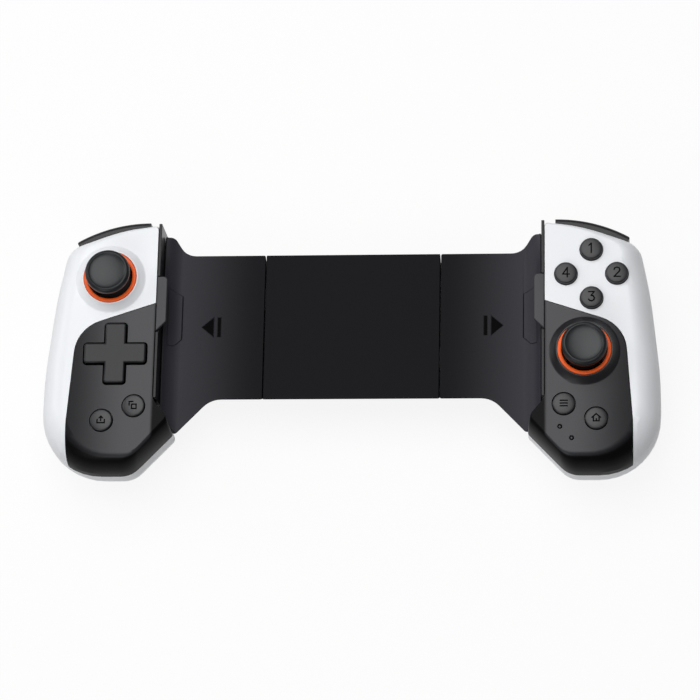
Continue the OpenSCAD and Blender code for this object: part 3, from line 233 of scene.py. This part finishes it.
dpad_abs = moulded("dpad_satin_abs", "#1d1d20", "#19191c", 0.36, 0.35, 0.01, specular=0.3,
                   bands=[dpad_edge_painted_shade])
button_abs = moulded("button_satin_abs", "#222226", "#1e1e21", 0.36, 0.35, 0.01, specular=0.45)
glyph_black = moulded("sunk_mark_black", "#070708", "#050506", 0.7, 0.4, 0.01, specular=0.04)
rim_rubber = moulded("stick_rim_rubber", "#1b1e20", "#181b1d", 0.34, 0.4, 0.01, specular=0.28)
pad_rubber = moulded("stick_pad_rubber", "#1c2022", "#181c1e", 0.36, 0.5, 0.015, specular=0.4)
ring_abs = moulded("orange_satin_abs", "#ff6412", "#fa5c0c", 0.4, 0.35, 0.006, specular=0.3)
nylon = moulded("black_glass_filled_nylon", "#1f1f21", "#19191b", 0.5, 0.5, 0.03)
lens_frost = moulded("frosted_light_lens", "#34373a", "#2c2f32", 0.3, 0.4, 0.005)
print("plastics:", len(bpy.data.materials))

# %% [markdown]
# ## Metal, circuit board and battery wrap
# The pins, screws, springs and gear are nickel-plated steel: a metal with its own colour and a fine
# drawn streak. The boards are green solder mask over copper tracks, and the battery is a foil pouch
# with creases. They sit inside the shells, so their patterns stay simple.

# %% Nickel-plated steel
def drawn_steel(streak_mm=0.4, streak_stretch=12):
    """Bright metal whose shine runs in fine upright streaks."""
    material, tree, shader, place = blank_material("nickel_plated_steel")
    turn = add(tree, "ShaderNodeMapping", {"Scale": (1, 1, 1 / streak_stretch)}, {"Vector": place})
    streak = add(tree, "ShaderNodeTexNoise", {"Scale": 1 / (streak_mm * MM), "Detail": 2},
                 {"Vector": turn.outputs["Vector"]})
    gloss = add(tree, "ShaderNodeMapRange", {"To Min": 0.22, "To Max": 0.38},
                {"Value": streak.outputs["Fac"]})
    tree.links.new(gloss.outputs["Result"], shader.inputs["Roughness"])
    shader.inputs["Base Color"].default_value = tint("#b9bbbd")
    shader.inputs["Metallic"].default_value = 1
    return material


steel = drawn_steel()
print("metal:", steel.name)

# %% Green circuit board
def solder_mask(track_mm=2.4):
    """Glossy green lacquer, paler where it rises over the tracks."""
    material, tree, shader, place = blank_material("green_solder_mask")
    tracks = add(tree, "ShaderNodeTexBrick", {"Scale": 1 / (track_mm * MM), "Mortar Size": 0.08,
                 "Color1": tint("#1f5a3d"), "Color2": tint("#1b5238"), "Mortar": tint("#3f8a5c")},
                 {"Vector": place})
    tree.links.new(tracks.outputs["Color"], shader.inputs["Base Color"])
    bump = add(tree, "ShaderNodeBump", {"Strength": 0.4, "Distance": 0.03 * MM},
               {"Height": tracks.outputs["Fac"]})
    tree.links.new(bump.outputs["Normal"], shader.inputs["Normal"])
    shader.inputs["Roughness"].default_value = 0.3
    return material


board_mask = solder_mask()
print("board:", board_mask.name)

# %% Battery pouch
def foil_pouch(crease_mm=6):
    """Dull silver foil with shallow creases."""
    material, tree, shader, place = blank_material("aluminium_foil_pouch")
    crease = add(tree, "ShaderNodeTexVoronoi", {"Scale": 1 / (crease_mm * MM)}, {"Vector": place})
    bump = add(tree, "ShaderNodeBump", {"Strength": 0.3, "Distance": 0.2 * MM},
               {"Height": crease.outputs["Distance"]})
    tree.links.new(bump.outputs["Normal"], shader.inputs["Normal"])
    shader.inputs["Base Color"].default_value = tint("#a9b3bc")
    shader.inputs["Metallic"].default_value = 1
    shader.inputs["Roughness"].default_value = 0.35
    return material


pouch = foil_pouch()
print("materials:", len(bpy.data.materials))

# %% [markdown]
# ## Pieces that copy a solid
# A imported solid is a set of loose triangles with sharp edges. The copy is merged, and its coplanar
# triangles are dissolved into larger faces. Plain mouldings have edges broken by a few tenths of a
# millimetre, which catch the light, so a Bevel modifier rounds them. The curved shells have their rounds
# in the solid already, where a bevel would cross small faces, so their edges are only marked as sharp. A
# Weighted Normal modifier then keeps the large faces flat.

# %% Piece helpers
SHARP = math.radians(30)
CAD_MERGE_MM = 0.002
FLAT = math.radians(0.3)


def new_piece(name, bm, *finishes):
    """An object at the origin from a bmesh, in smooth shading."""
    mesh = bpy.data.meshes.new(name)
    bm.to_mesh(mesh)
    bm.free()
    for finish in finishes:
        mesh.materials.append(finish)
    mesh.shade_smooth()
    piece = bpy.data.objects.new(name, mesh)
    scene.collection.objects.link(piece)
    return piece


def stand_for(piece, node):
    """The piece rides where its node rides, and the node is hidden."""
    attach(piece, body_of[node])
    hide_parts(node)
    return piece


def round_edges(piece, edge_mm, segments=2):
    """Rounds the sharp edges, or with no width keeps them sharp."""
    if edge_mm:
        bevel = piece.modifiers.new("broken_edges", "BEVEL")
        bevel.width = edge_mm * MM
        bevel.segments = segments
        bevel.limit_method = "ANGLE"
        bevel.angle_limit = SHARP
        bevel.use_clamp_overlap = False
    else:
        piece.data.set_sharp_from_angle(angle=SHARP)
    normals = piece.modifiers.new("flat_faces", "WEIGHTED_NORMAL")
    normals.keep_sharp = True


def merged_copy(node):
    """A bmesh of a solid with its loose triangles joined."""
    bm = bmesh.new()
    bm.from_mesh(frame["nodes"][node].data)
    bmesh.ops.remove_doubles(bm, verts=bm.verts, dist=CAD_MERGE_MM * MM)
    bmesh.ops.dissolve_limit(bm, angle_limit=FLAT, verts=bm.verts, edges=bm.edges)
    return bm


def moulding(node, finish, edge_mm):
    """A dressed copy of a solid."""
    piece = new_piece(node + "_skin", merged_copy(node), finish)
    round_edges(piece, edge_mm)
    return stand_for(piece, node)


# %% [markdown]
# ## Shells, plates and bridge
# The grips are a white front cover and a charcoal plate over a white rear shell. The bridge is a black
# centre housing with a wing panel on each side, and thin black walls back the phone's ends. All are
# mouldings, so they are dressed copies of their solids. Each row gives the part, its slot, its finish
# and the width of its broken edges in millimetres.

# %% Mouldings of the casing
CASING = [
    ("rear_shell", "white_shell", white_abs, 0), ("front_cover", "white_shell", white_abs, 0),
    ("front_plate", "dark_plate", charcoal_abs, 0), ("bridge_panel", "black_bridge", bridge_abs, 0.3),
    ("inner_wall", "black_bridge", wall_abs, 0.2), ("phone_lip", "grey_grip", lip_rubber, 0.35),
    ("wing_pad", "grey_grip", bridge_abs, 0.12), ("bumper", "shoulder_black", shoulder_abs, 0),
    ("trigger", "shoulder_black", shoulder_abs, 0),
]
for side in SIDES:
    for part, slot, finish, edge_mm in CASING:
        moulding(f"{side}_{part}", finish, edge_mm)
CENTRE_EDGE = 0.3
for node in ("centre_front_panel", "centre_back_cover"):
    moulding(node, bridge_abs, CENTRE_EDGE)

# %% [markdown]
# ## Direction pad
# The pad is a cross with a generously rounded top, which a thumb rolls over. Only the outline of its top
# is rounded here, so its skirt and pivot block underneath stay as the solid has them.

# %% Direction pad with a rounded top
DPAD_ROUND = 0.8
ON_TOP = 0.01 * MM
bm = merged_copy("left_dpad")
top_edges = [e for e in bm.edges if min(v.co.z for v in e.verts) > dpad_z * MM - ON_TOP]
rim = [e for e in top_edges if e.calc_face_angle(0) > SHARP]
rim_edges = len(rim)
bmesh.ops.bevel(bm, geom=rim, offset=DPAD_ROUND * MM, offset_type="OFFSET", segments=4, profile=0.5,
                affect="EDGES", material=-1, clamp_overlap=False)
pad = new_piece("left_dpad_skin", bm, dpad_abs)
round_edges(pad, 0)
stand_for(pad, "left_dpad")
print("direction pad, edges rounded:", rim_edges)

# %% [markdown]
# ## Pieces inside the grips
# Stick housings, yokes, shafts, boards, battery, slide arms, gear and pins hardly show, but a pose or
# a cut-away may bring them out. Their solids are right as they are, and each gets its material.

# %% Inner solids
INNER = {
    "stick_housing": nylon, "stick_yoke": nylon, "stick_shaft": nylon, "slide_arm": nylon,
    "circuit_board": board_mask, "shoulder_pins": steel,
}
INNER_SINGLE = {"pinion_gear": steel, "pinion_pin": steel, "left_battery": pouch, "left_dpad_pivot": steel}
inner_nodes = {f"{side}_{part}": finish for side in SIDES for part, finish in INNER.items()}
for node, finish in {**inner_nodes, **INNER_SINGLE}.items():
    moulding(node, finish, 0)

# %% [markdown]
# ## Turned pieces
# Buttons, sticks, collar rings, light lenses and screw heads are round. A lathe is the natural way to
# make them: draw half of the section as a line of points and spin it about its axis.

# %% Lathe
TURNED_SHARP = math.radians(40)
MERGE_MM = 0.001


def arc(r, z, radius, start, end, steps=6):
    """Points of a rounded corner of the section, angles in degrees."""
    turns = [math.radians(start + (end - start) * i / steps) for i in range(steps + 1)]
    return [(r + radius * math.cos(a), z + radius * math.sin(a)) for a in turns]


def turn_section(bm, section, middle, steps=72):
    """Spins a section of (radius, height) in millimetres about a vertical line."""
    verts = [bm.verts.new((middle.x + r * MM, middle.y, z * MM)) for r, z in section]
    edges = [bm.edges.new(pair) for pair in zip(verts, verts[1:])]
    bmesh.ops.spin(bm, geom=verts + edges, cent=(middle.x, middle.y, 0), axis=(0, 0, 1),
                   angle=math.tau, steps=steps, use_merge=True)


def close_up(bm):
    """Merges the seams and poles of turned pieces and points their faces outwards."""
    bmesh.ops.remove_doubles(bm, verts=bm.verts, dist=MERGE_MM * MM)
    bmesh.ops.recalc_face_normals(bm, faces=bm.faces)


def turned(section, middle, steps=72):
    """A bmesh of one turned piece."""
    bm = bmesh.new()
    turn_section(bm, section, middle, steps)
    close_up(bm)
    return bm


def middle_of(node):
    """Middle of a node's box."""
    low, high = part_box(node)
    return (low + high) / 2


# %% [markdown]
# ## Thumb sticks
# Each stick ends in a mushroom cap: a near-black rubber rim that overhangs a narrower skirt, round a
# paler, slightly hollow pad for the thumb. An orange collar ring lies in the mound below it. The cap
# is one turned section, and the faces of the pad take the second rubber.

# %% Thumb cap
CAP_R = 8
CAP_H = 4
NECK_R = 2.6
SKIRT_IN = 0.55
SKIRT_H = 1.3
SKIRT_ROUND = 0.4
LEDGE_H = 0.25
LEDGE_ROUND = 0.15
RIM_ROUND = 1.3
PAD_R = 6.6
PAD_LIP = 0.12
PAD_SLOPE = 0.4
PAD_SUNK = 0.3
PAD_DISH = 0.9


def cap_section(foot, crown):
    """Half section of a cap, from the foot of its neck up to the middle of its pad."""
    base = crown - CAP_H
    dish = PAD_DISH - PAD_SUNK
    section = [(0, foot), (NECK_R, foot), (NECK_R, base)]
    section += arc(CAP_R - SKIRT_IN - SKIRT_ROUND, base + SKIRT_ROUND, SKIRT_ROUND, -90, 0, 4)
    section += [(CAP_R - SKIRT_IN, base + SKIRT_H)]
    section += arc(CAP_R - LEDGE_ROUND, base + SKIRT_H + LEDGE_H, LEDGE_ROUND, -90, 0, 3)
    section += arc(CAP_R - RIM_ROUND, crown - RIM_ROUND, RIM_ROUND, 0, 90, 10)
    section += [(PAD_R, crown - PAD_LIP), (PAD_R - PAD_SLOPE, crown - PAD_SUNK)]
    return section + [(PAD_R * t, crown - PAD_DISH + dish * t ** 2) for t in (0.8, 0.6, 0.4, 0.2, 0)]


# %% Rim and pad of a cap in two rubbers
PAD_MARGIN = 0.1
PAD_LOWEST = 1


def thumb_cap(side):
    """The cap of one stick."""
    node = f"{side}_stick_cap"
    low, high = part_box(node)
    middle = (low + high) / 2
    bm = turned(cap_section(low.z / MM, high.z / MM), middle)
    cap = new_piece(f"{side}_thumb_cap", bm, rim_rubber, pad_rubber)
    for face in cap.data.polygons:
        reach = Vector(face.center) - middle
        near = reach.xy.length < (PAD_R + PAD_MARGIN) * MM
        face.material_index = int(near and reach.z > PAD_LOWEST * MM)
    cap.data.set_sharp_from_angle(angle=TURNED_SHARP)
    return stand_for(cap, node)


# %% Collar ring
RING_W = 1.45
RING_ROUND = 0.35
RING_STEPS = 96


def collar_ring(side):
    """The orange ring in the mound below one stick."""
    node = f"{side}_stick_ring"
    low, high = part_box(node)
    outer, foot, top = (high.x - low.x) / 2 / MM, low.z / MM, high.z / MM
    inner = outer - RING_W
    round_z = top - RING_ROUND
    section = [(inner, foot), (outer, foot)] + arc(outer - RING_ROUND, round_z, RING_ROUND, 0, 90, 4)
    section += arc(inner + RING_ROUND, round_z, RING_ROUND, 90, 180, 4) + [(inner, foot)]
    ring = new_piece(f"{side}_collar_ring", turned(section, middle_of(node), RING_STEPS), ring_abs)
    ring.data.set_sharp_from_angle(angle=TURNED_SHARP)
    return stand_for(ring, node)


# %% Caps and rings of both sticks
for side in SIDES:
    cap, ring = thumb_cap(side), collar_ring(side)
    print(side, "stick, faces of cap and ring:", len(cap.data.polygons), len(ring.data.polygons))

# %% [markdown]
# ## Push buttons
# Every round button is a low dome on a flange, with its mark sunk into the dome and left black. The
# dome is turned, and the mark is a cutter that a Boolean modifier takes out of it. The cut faces keep
# the cutter's black. The four face buttons carry plain numbers and the small ones plain signs, all of
# straight strokes, given as points in millimetres from the button's middle.

# %% Strokes as cutters
STROKE_MM = 0.48
CARVED_SHARP = math.radians(35)


def stroke_cutter(lines, middle, low_z, high_z):
    """Bars along each line of points, in millimetres from the middle."""
    bm = bmesh.new()
    for line in lines:
        for start, end in zip(line, line[1:]):
            a, b = Vector(start) * MM, Vector(end) * MM
            run = b - a
            place = Matrix.Translation((*(middle.xy + (a + b) / 2), (low_z + high_z) / 2))
            spin = Matrix.Rotation(math.atan2(run.y, run.x), 4, "Z")
            size = Matrix.Diagonal((run.length + STROKE_MM * MM, STROKE_MM * MM, high_z - low_z, 1))
            bmesh.ops.create_cube(bm, size=1, matrix=place @ spin @ size)
    return new_piece("cutter", bm, glyph_black)


def carve(piece, cutter):
    """Takes the cutter out of the piece for good."""
    cut = piece.modifiers.new("carve", "BOOLEAN")
    cut.object = cutter
    cut.solver = "EXACT"
    cut.use_self = True
    cut.material_mode = "TRANSFER"
    bpy.context.view_layer.update()
    result = piece.evaluated_get(bpy.context.evaluated_depsgraph_get())
    carved = bpy.data.meshes.new_from_object(result)
    piece.modifiers.clear()
    piece.data = carved
    bpy.data.objects.remove(cutter)
    carved.set_sharp_from_angle(angle=CARVED_SHARP)


# %% Domed buttons with their marks
FLANGE_OVER = 0.75
FLANGE_DROP = 2.1
FLANGE_T = 1.1
STEM_R = 1.5
CROWN_ROUND = 0.6
CROWN_DROP = 0.25
CROWN_TURN = 80
MARK_DEPTH = 0.3


def domed_button(node):
    """A button's piece, and the heights between which its mark is cut."""
    low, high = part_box(node)
    flange = (high.x - low.x) / 2 / MM
    r, top, shelf = flange - FLANGE_OVER, high.z / MM, face_z - FLANGE_DROP
    under, round_z = shelf - FLANGE_T, top - CROWN_DROP - CROWN_ROUND
    section = [(0, low.z / MM), (STEM_R, low.z / MM), (STEM_R, under), (flange, under)]
    section += [(flange, shelf), (r, shelf)] + arc(r - CROWN_ROUND, round_z, CROWN_ROUND, 0, CROWN_TURN)
    rim_r, rim_z = section[-1]
    section += [(rim_r * (1 - t), top - (top - rim_z) * (1 - t) ** 2) for t in (0.25, 0.5, 0.75, 1)]
    piece = new_piece(node + "_cap", turned(section, middle_of(node)), button_abs)
    return stand_for(piece, node), high.z - MARK_DEPTH * MM, high.z + MARK_DEPTH * MM


def square(x, y, size):
    """Outline of a square from its lower left corner."""
    return [(x, y), (x + size, y), (x + size, y + size), (x, y + size), (x, y)]


# %% Marks of the buttons
MARKS = {
    "left_view_button": [[(-0.1, 1.35), (-1.4, 1.35), (-1.4, 0.05)], square(-0.5, -1.25, 1.6)],
    "left_capture_button": [[(-1.3, 0.1), (-1.3, -1.1), (1.3, -1.1), (1.3, 0.1)], [(0, -0.3), (0, 1.3)],
                            [(-0.6, 0.7), (0, 1.3), (0.6, 0.7)]],
    "right_menu_button": [[(-1.2, y), (1.2, y)] for y in (1, 0, -1)],
    "right_home_button": [[(-1.5, 0.1), (0, 1.4), (1.5, 0.1)], [(-1, 0.2), (-1, -1.2), (1, -1.2), (1, 0.2)],
                          [(0, -1.2), (0, -0.5)]],
    "face_button_1": [[(-0.8, 1), (0, 1.7), (0, -1.7)]],
    "face_button_2": [[(-1, 0.9), (-0.7, 1.5), (0, 1.7), (0.7, 1.5), (1, 0.9), (0.8, 0.2), (-1, -1.7),
                       (1.1, -1.7)]],
    "face_button_3": [[(-1, 1.7), (0.9, 1.7), (-0.1, 0.3), (0.6, 0.1), (1, -0.6), (0.8, -1.3),
                       (0.1, -1.7), (-0.6, -1.6), (-1, -1.1)]],
    "face_button_4": [[(0.5, -1.7), (0.5, 1.7), (-1.1, -0.7), (1.2, -0.7)]],
}
for node, lines in MARKS.items():
    piece, low_z, high_z = domed_button(node)
    carve(piece, stroke_cutter(lines, middle_of(node), low_z, high_z))
print("buttons:", len(MARKS))

# %% [markdown]
# ## Arrow marks on the bridge
# A sunk arrow with a bar on each wing panel shows which way to pull. The solid has the recess, and the
# real one is filled with black ink, so a thin inlay lies in it.

# %% Arrow inlays
ARROW_TIP_IN = 15
ARROW_H = 7.2
ARROW_L = 4.2
ARROW_BAR = 1.1
ARROW_BAR_GAP = 1.5
ARROW_DEPTH = 0.3
INK_SUNK = 0.06
INK_GAP = 0.03
panel_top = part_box("centre_front_panel")[1].z
panel_y = middle_of("centre_front_panel").y
for side, sign in SIDES.items():
    wall_low, wall_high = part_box(f"{side}_inner_wall")
    tip = sign * (max(abs(wall_low.x), abs(wall_high.x)) / MM - ARROW_TIP_IN)
    base = tip - sign * ARROW_L
    bar = base - sign * ARROW_BAR_GAP
    outlines = [
        [(tip, 0), (base, ARROW_H / 2), (base, -ARROW_H / 2)],
        [(bar, ARROW_H / 2), (bar - sign * ARROW_BAR, ARROW_H / 2), (bar - sign * ARROW_BAR, -ARROW_H / 2),
         (bar, -ARROW_H / 2)],
    ]
    bm = bmesh.new()
    for outline in outlines:
        floor_z = panel_top - ARROW_DEPTH * MM
        sheet = bm.faces.new([bm.verts.new((x * MM, panel_y + y * MM, floor_z)) for x, y in outline])
        bmesh.ops.inset_region(bm, faces=[sheet], thickness=INK_GAP * MM)
        raised = bmesh.ops.extrude_face_region(bm, geom=[sheet])["geom"]
        lift = Vector((0, 0, (ARROW_DEPTH - INK_SUNK) * MM))
        bmesh.ops.translate(bm, vec=lift, verts=[v for v in raised if isinstance(v, bmesh.types.BMVert)])
    bmesh.ops.recalc_face_normals(bm, faces=bm.faces)
    inlay = new_piece(f"{side}_arrow_inlay", bm, glyph_black)
    inlay.data.set_sharp_from_angle(angle=SHARP)
    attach(inlay, f"{side}_grip")
print("arrow inlays:", len(SIDES))

# %% [markdown]
# ## Indicator lights
# Two light pipes end just under the plate's face. Each shows as a dark collar round a small pale
# lens, so the turned pin takes two finishes by radius.

# %% Light pipes
LIGHT_R = 0.85
LIGHT_STEPS = 32
COLLAR_EDGE = 0.1
COLLAR_DROP = 0.05
MOAT_W = 0.08
MOAT_DROP = 0.15
LENS_R = 0.42
LENS_EDGE = 0.1
LENS_SHOULDER_R = 0.6 * LENS_R
LENS_SHOULDER_DROP = 0.02
LENS_DEEP = 0.2
node = "right_indicator_lights"
low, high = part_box(node)
foot, top, inset = low.z / MM, high.z / MM, LIGHT_R * MM
middles = [Vector((low.x + inset, high.y - inset, 0)), Vector((high.x - inset, low.y + inset, 0))]
bm = bmesh.new()
section = [(0, foot), (LIGHT_R, foot), (LIGHT_R, top - MOAT_DROP)]
section += [(LIGHT_R - COLLAR_EDGE, top - COLLAR_DROP), (LENS_R + MOAT_W, top - COLLAR_DROP)]
section += [(LENS_R, top - MOAT_DROP), (LENS_R, top - LENS_EDGE)]
section += [(LENS_SHOULDER_R, top - LENS_SHOULDER_DROP), (0, top)]
for middle in middles:
    turn_section(bm, section, middle, LIGHT_STEPS)
close_up(bm)
lights = new_piece("right_light_pipes", bm, glyph_black, lens_frost)
for face in lights.data.polygons:
    reach = min((Vector(face.center).xy - middle.xy).length for middle in middles)
    face.material_index = int(reach < LENS_R * MM and face.center.z > high.z - LENS_DEEP * MM)
lights.data.set_sharp_from_angle(angle=TURNED_SHARP)
stand_for(lights, node)
print("light pipes:", len(middles))

# %% [markdown]
# ## Screws
# The rear shells and the bridge's back cover are held by cross-head screws. The shank and pan head are
# turned, and two crossed bars are carved out of the head.

# %% Cross-head screws
SCREW_STEPS = 32
HEAD_ROUND = 0.35
TIP_IN = 0.4
TIP_H = 0.5
CROSS_DEPTH = 0.7
CROSS_REACH = 0.55


def solid_islands(node):
    """Boxes of the separate solids in a node."""
    bm = merged_copy(node)
    left = set(bm.verts)
    boxes = []
    while left:
        todo = [left.pop()]
        island = []
        while todo:
            vert = todo.pop()
            island.append(vert.co.copy())
            near = {e.other_vert(vert) for e in vert.link_edges} & left
            left -= near
            todo.extend(near)
        boxes.append([Vector(map(pick, zip(*island))) for pick in (min, max)])
    bm.free()
    return boxes


def cross_head_screws(node, shank_r, head_t):
    """One piece of all the screws in a node."""
    bm = bmesh.new()
    lines = []
    for low, high in solid_islands(node):
        middle = (low + high) / 2
        head_r, foot, tip = (high.x - low.x) / 2 / MM, low.z / MM, high.z / MM
        section = [(0, foot)] + arc(head_r - HEAD_ROUND, foot + HEAD_ROUND, HEAD_ROUND, -90, 0, 4)
        section += [(head_r, foot + head_t), (shank_r, foot + head_t), (shank_r, tip - TIP_H)]
        section += [(shank_r - TIP_IN, tip), (0, tip)]
        turn_section(bm, section, middle, SCREW_STEPS)
        reach = head_r * CROSS_REACH
        x, y = middle.xy / MM
        lines += [[(x - reach, y), (x + reach, y)], [(x, y - reach), (x, y + reach)]]
    close_up(bm)
    piece = new_piece(node + "_cross_head", bm, steel)
    foot_z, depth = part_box(node)[0].z, CROSS_DEPTH * MM
    carve(piece, stroke_cutter(lines, Vector((0, 0, 0)), foot_z - depth, foot_z + depth))
    return stand_for(piece, node)


# %% Screws of the shells and the bridge
SHELL_SHANK_R, SHELL_HEAD_T = 1.2, 1.75
BRIDGE_SHANK_R, BRIDGE_HEAD_T = 0.9, 0.8
for side in SIDES:
    cross_head_screws(f"{side}_shell_screws", SHELL_SHANK_R, SHELL_HEAD_T)
cross_head_screws("bridge_screws", BRIDGE_SHANK_R, BRIDGE_HEAD_T)

# %% [markdown]
# ## Return springs
# A coil spring lies in each slide arm's groove, and is pressed together as the grip is pulled out. A
# small ring of wire, spun about the coil's axis with a step along it, makes the helix.

# %% Coil springs
WIRE_MM = 0.6
TURNS = 14
STEPS_PER_TURN = 20
WIRE_SIDES = 10
wire = WIRE_MM * MM
steps = TURNS * STEPS_PER_TURN
for side, sign in SIDES.items():
    node = f"{side}_return_spring"
    low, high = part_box(node)
    middle = (low + high) / 2
    length = high.x - low.x - wire
    coil_r = (high.y - low.y - wire) / 2
    bm = bmesh.new()
    start = Matrix.Translation((low.x + wire / 2, middle.y + coil_r, middle.z))
    bmesh.ops.create_circle(bm, segments=WIRE_SIDES, radius=wire / 2, cap_ends=False, matrix=start)
    bmesh.ops.spin(bm, geom=list(bm.verts) + list(bm.edges), cent=middle, axis=(1, 0, 0),
                   dvec=(length / steps, 0, 0), angle=math.tau * TURNS, steps=steps)
    bmesh.ops.holes_fill(bm, edges=[e for e in bm.edges if e.is_boundary], sides=0)
    bmesh.ops.recalc_face_normals(bm, faces=bm.faces)
    spring = new_piece(f"{side}_coil_spring", bm, steel)
    stand_for(spring, node)
    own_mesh(spring)
print("coil turns:", TURNS)

# %% [markdown]
# ## Charging port
# The port is a drawn steel sleeve round a black tongue with gold contacts. The solid has sleeve and
# tongue in one, so the tongue's faces take plastic, and small gold bars lie on it.

# %% Port sleeve and tongue
TONGUE_W, TONGUE_T = 5.9, 0.7
TONGUE_MARGIN = 0.02
PORT_EDGE = 0.08
node = "right_charging_port"
low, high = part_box(node)
middle = (low + high) / 2
port = new_piece("right_port_sleeve", merged_copy(node), steel, nylon)
for face in port.data.polygons:
    off = Vector(face.center) - middle
    within_w = abs(off.x) < (TONGUE_W / 2 + TONGUE_MARGIN) * MM
    face.material_index = int(within_w and abs(off.z) < (TONGUE_T / 2 + TONGUE_MARGIN) * MM)
round_edges(port, PORT_EDGE)
stand_for(port, node)
print("port sleeve in mm:", [round(v / MM, 1) for v in high - low])

# %% Gold contacts
def gold_plate(wear_mm=0.5):
    """Gold plating, a little rubbed by the plug."""
    material, tree, shader, place = blank_material("gold_plated_contact")
    wear = add(tree, "ShaderNodeTexNoise", {"Scale": 1 / (wear_mm * MM), "Detail": 2}, {"Vector": place})
    gloss = add(tree, "ShaderNodeMapRange", {"To Min": 0.2, "To Max": 0.35}, {"Value": wear.outputs["Fac"]})
    tree.links.new(gloss.outputs["Result"], shader.inputs["Roughness"])
    shader.inputs["Base Color"].default_value = tint("#e2b75c")
    shader.inputs["Metallic"].default_value = 1
    return material


CONTACTS = 8
CONTACT = Vector((0.3, 3.6, 0.06)) * MM
CONTACT_PITCH = 0.6 * MM
CONTACT_IN = 2.4 * MM
bm = bmesh.new()
for i in range(CONTACTS):
    for face_sign in (-1, 1):
        x = middle.x + (i - (CONTACTS - 1) / 2) * CONTACT_PITCH
        z = middle.z + face_sign * (TONGUE_T * MM + CONTACT.z) / 2
        place = Matrix.Translation((x, low.y + CONTACT_IN, z)) @ Matrix.Diagonal((*CONTACT, 1))
        bmesh.ops.create_cube(bm, size=1, matrix=place)
contacts = new_piece("right_port_contacts", bm, gold_plate())
contacts.data.set_sharp_from_angle(angle=SHARP)
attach(contacts, "right_grip")

# %% [markdown]
# ## Floor and studio light
# The photograph stands on plain white. The floor is a pale sheet whose material adds plain white for
# the camera and for reflections, so that it looks white without more light on the object, and still
# takes a soft shadow. It is large, so that it fills low views too. A large soft box hangs above and
# behind, two weaker ones stand to the left and in front, and the world gives an even base.

# %% Floor
FLOOR_SIZE = 30
FLOOR_GAP = 0.05 * MM
FLOOR_WHITE = 0.88
FLOOR_LIT, FLOOR_SEEN = "#b0b0b0", "#f6f6f6"
bm = bmesh.new()
bmesh.ops.create_grid(bm, x_segments=1, y_segments=1, size=FLOOR_SIZE / 2)
bmesh.ops.translate(bm, vec=(0, 0, cad_low.z - FLOOR_GAP), verts=bm.verts)
floor_paper, tree, shader, _ = blank_material("white_paper_sweep")
shader.inputs["Roughness"].default_value = 0.9
glow = add(tree, "ShaderNodeEmission", {"Color": (1, 1, 1, 1), "Strength": 1})
rays = add(tree, "ShaderNodeLightPath")
seen = add(tree, "ShaderNodeMath",
           links={0: rays.outputs["Is Camera Ray"], 1: rays.outputs["Is Glossy Ray"]},
           operation="MAXIMUM")
seen = add(tree, "ShaderNodeMath", links={0: seen.outputs[0], 1: rays.outputs["Is Transmission Ray"]},
           operation="MAXIMUM")
share = add(tree, "ShaderNodeMath", {1: FLOOR_WHITE}, {0: seen.outputs[0]}, operation="MULTIPLY")
tone = add(tree, "ShaderNodeMix", {"A": tint(FLOOR_LIT), "B": tint(FLOOR_SEEN)},
           {"Factor": seen.outputs[0]}, data_type="RGBA")
tree.links.new(tone.outputs["Result"], shader.inputs["Base Color"])
paper = add(tree, "ShaderNodeMixShader",
            links={0: share.outputs[0], 1: shader.outputs[0], 2: glow.outputs[0]})
tree.links.new(paper.outputs[0], tree.nodes["Material Output"].inputs["Surface"])
floor = new_piece("floor", bm, floor_paper)
print("floor in metres:", FLOOR_SIZE)

# %% Lights and world
WORLD_LIGHT = 0.18
LIT_SPOT = Vector((0, 0, 0.02))
world = bpy.data.worlds.new("studio")
scene.world = world
world.use_nodes = True
sky = world.node_tree.nodes["Background"]
sky.inputs["Strength"].default_value = WORLD_LIGHT
sky.inputs["Color"].default_value = (1, 1, 1, 1)


def soft_box(name, place, size, watts):
    """A rectangular area lamp that faces the object."""
    lamp = bpy.data.lights.new(name, "AREA")
    lamp.shape = "RECTANGLE"
    lamp.size, lamp.size_y = size
    lamp.energy = watts
    box = bpy.data.objects.new(name, lamp)
    facing = (Vector(place) - LIT_SPOT).to_track_quat("Z", "Y").to_matrix().to_4x4()
    box.matrix_world = Matrix.Translation(place) @ facing
    scene.collection.objects.link(box)


soft_box("top_box", (-0.08, 0.28, 0.95), (0.7, 0.9), 6.8)
soft_box("left_box", (-0.95, 0.3, 0.55), (0.5, 0.8), 2.6)
soft_box("front_box", (-0.4, -0.75, 0.7), (0.6, 0.5), 2.2)
scene.view_settings.view_transform = "Standard"
print("lamps:", len(bpy.data.lights))
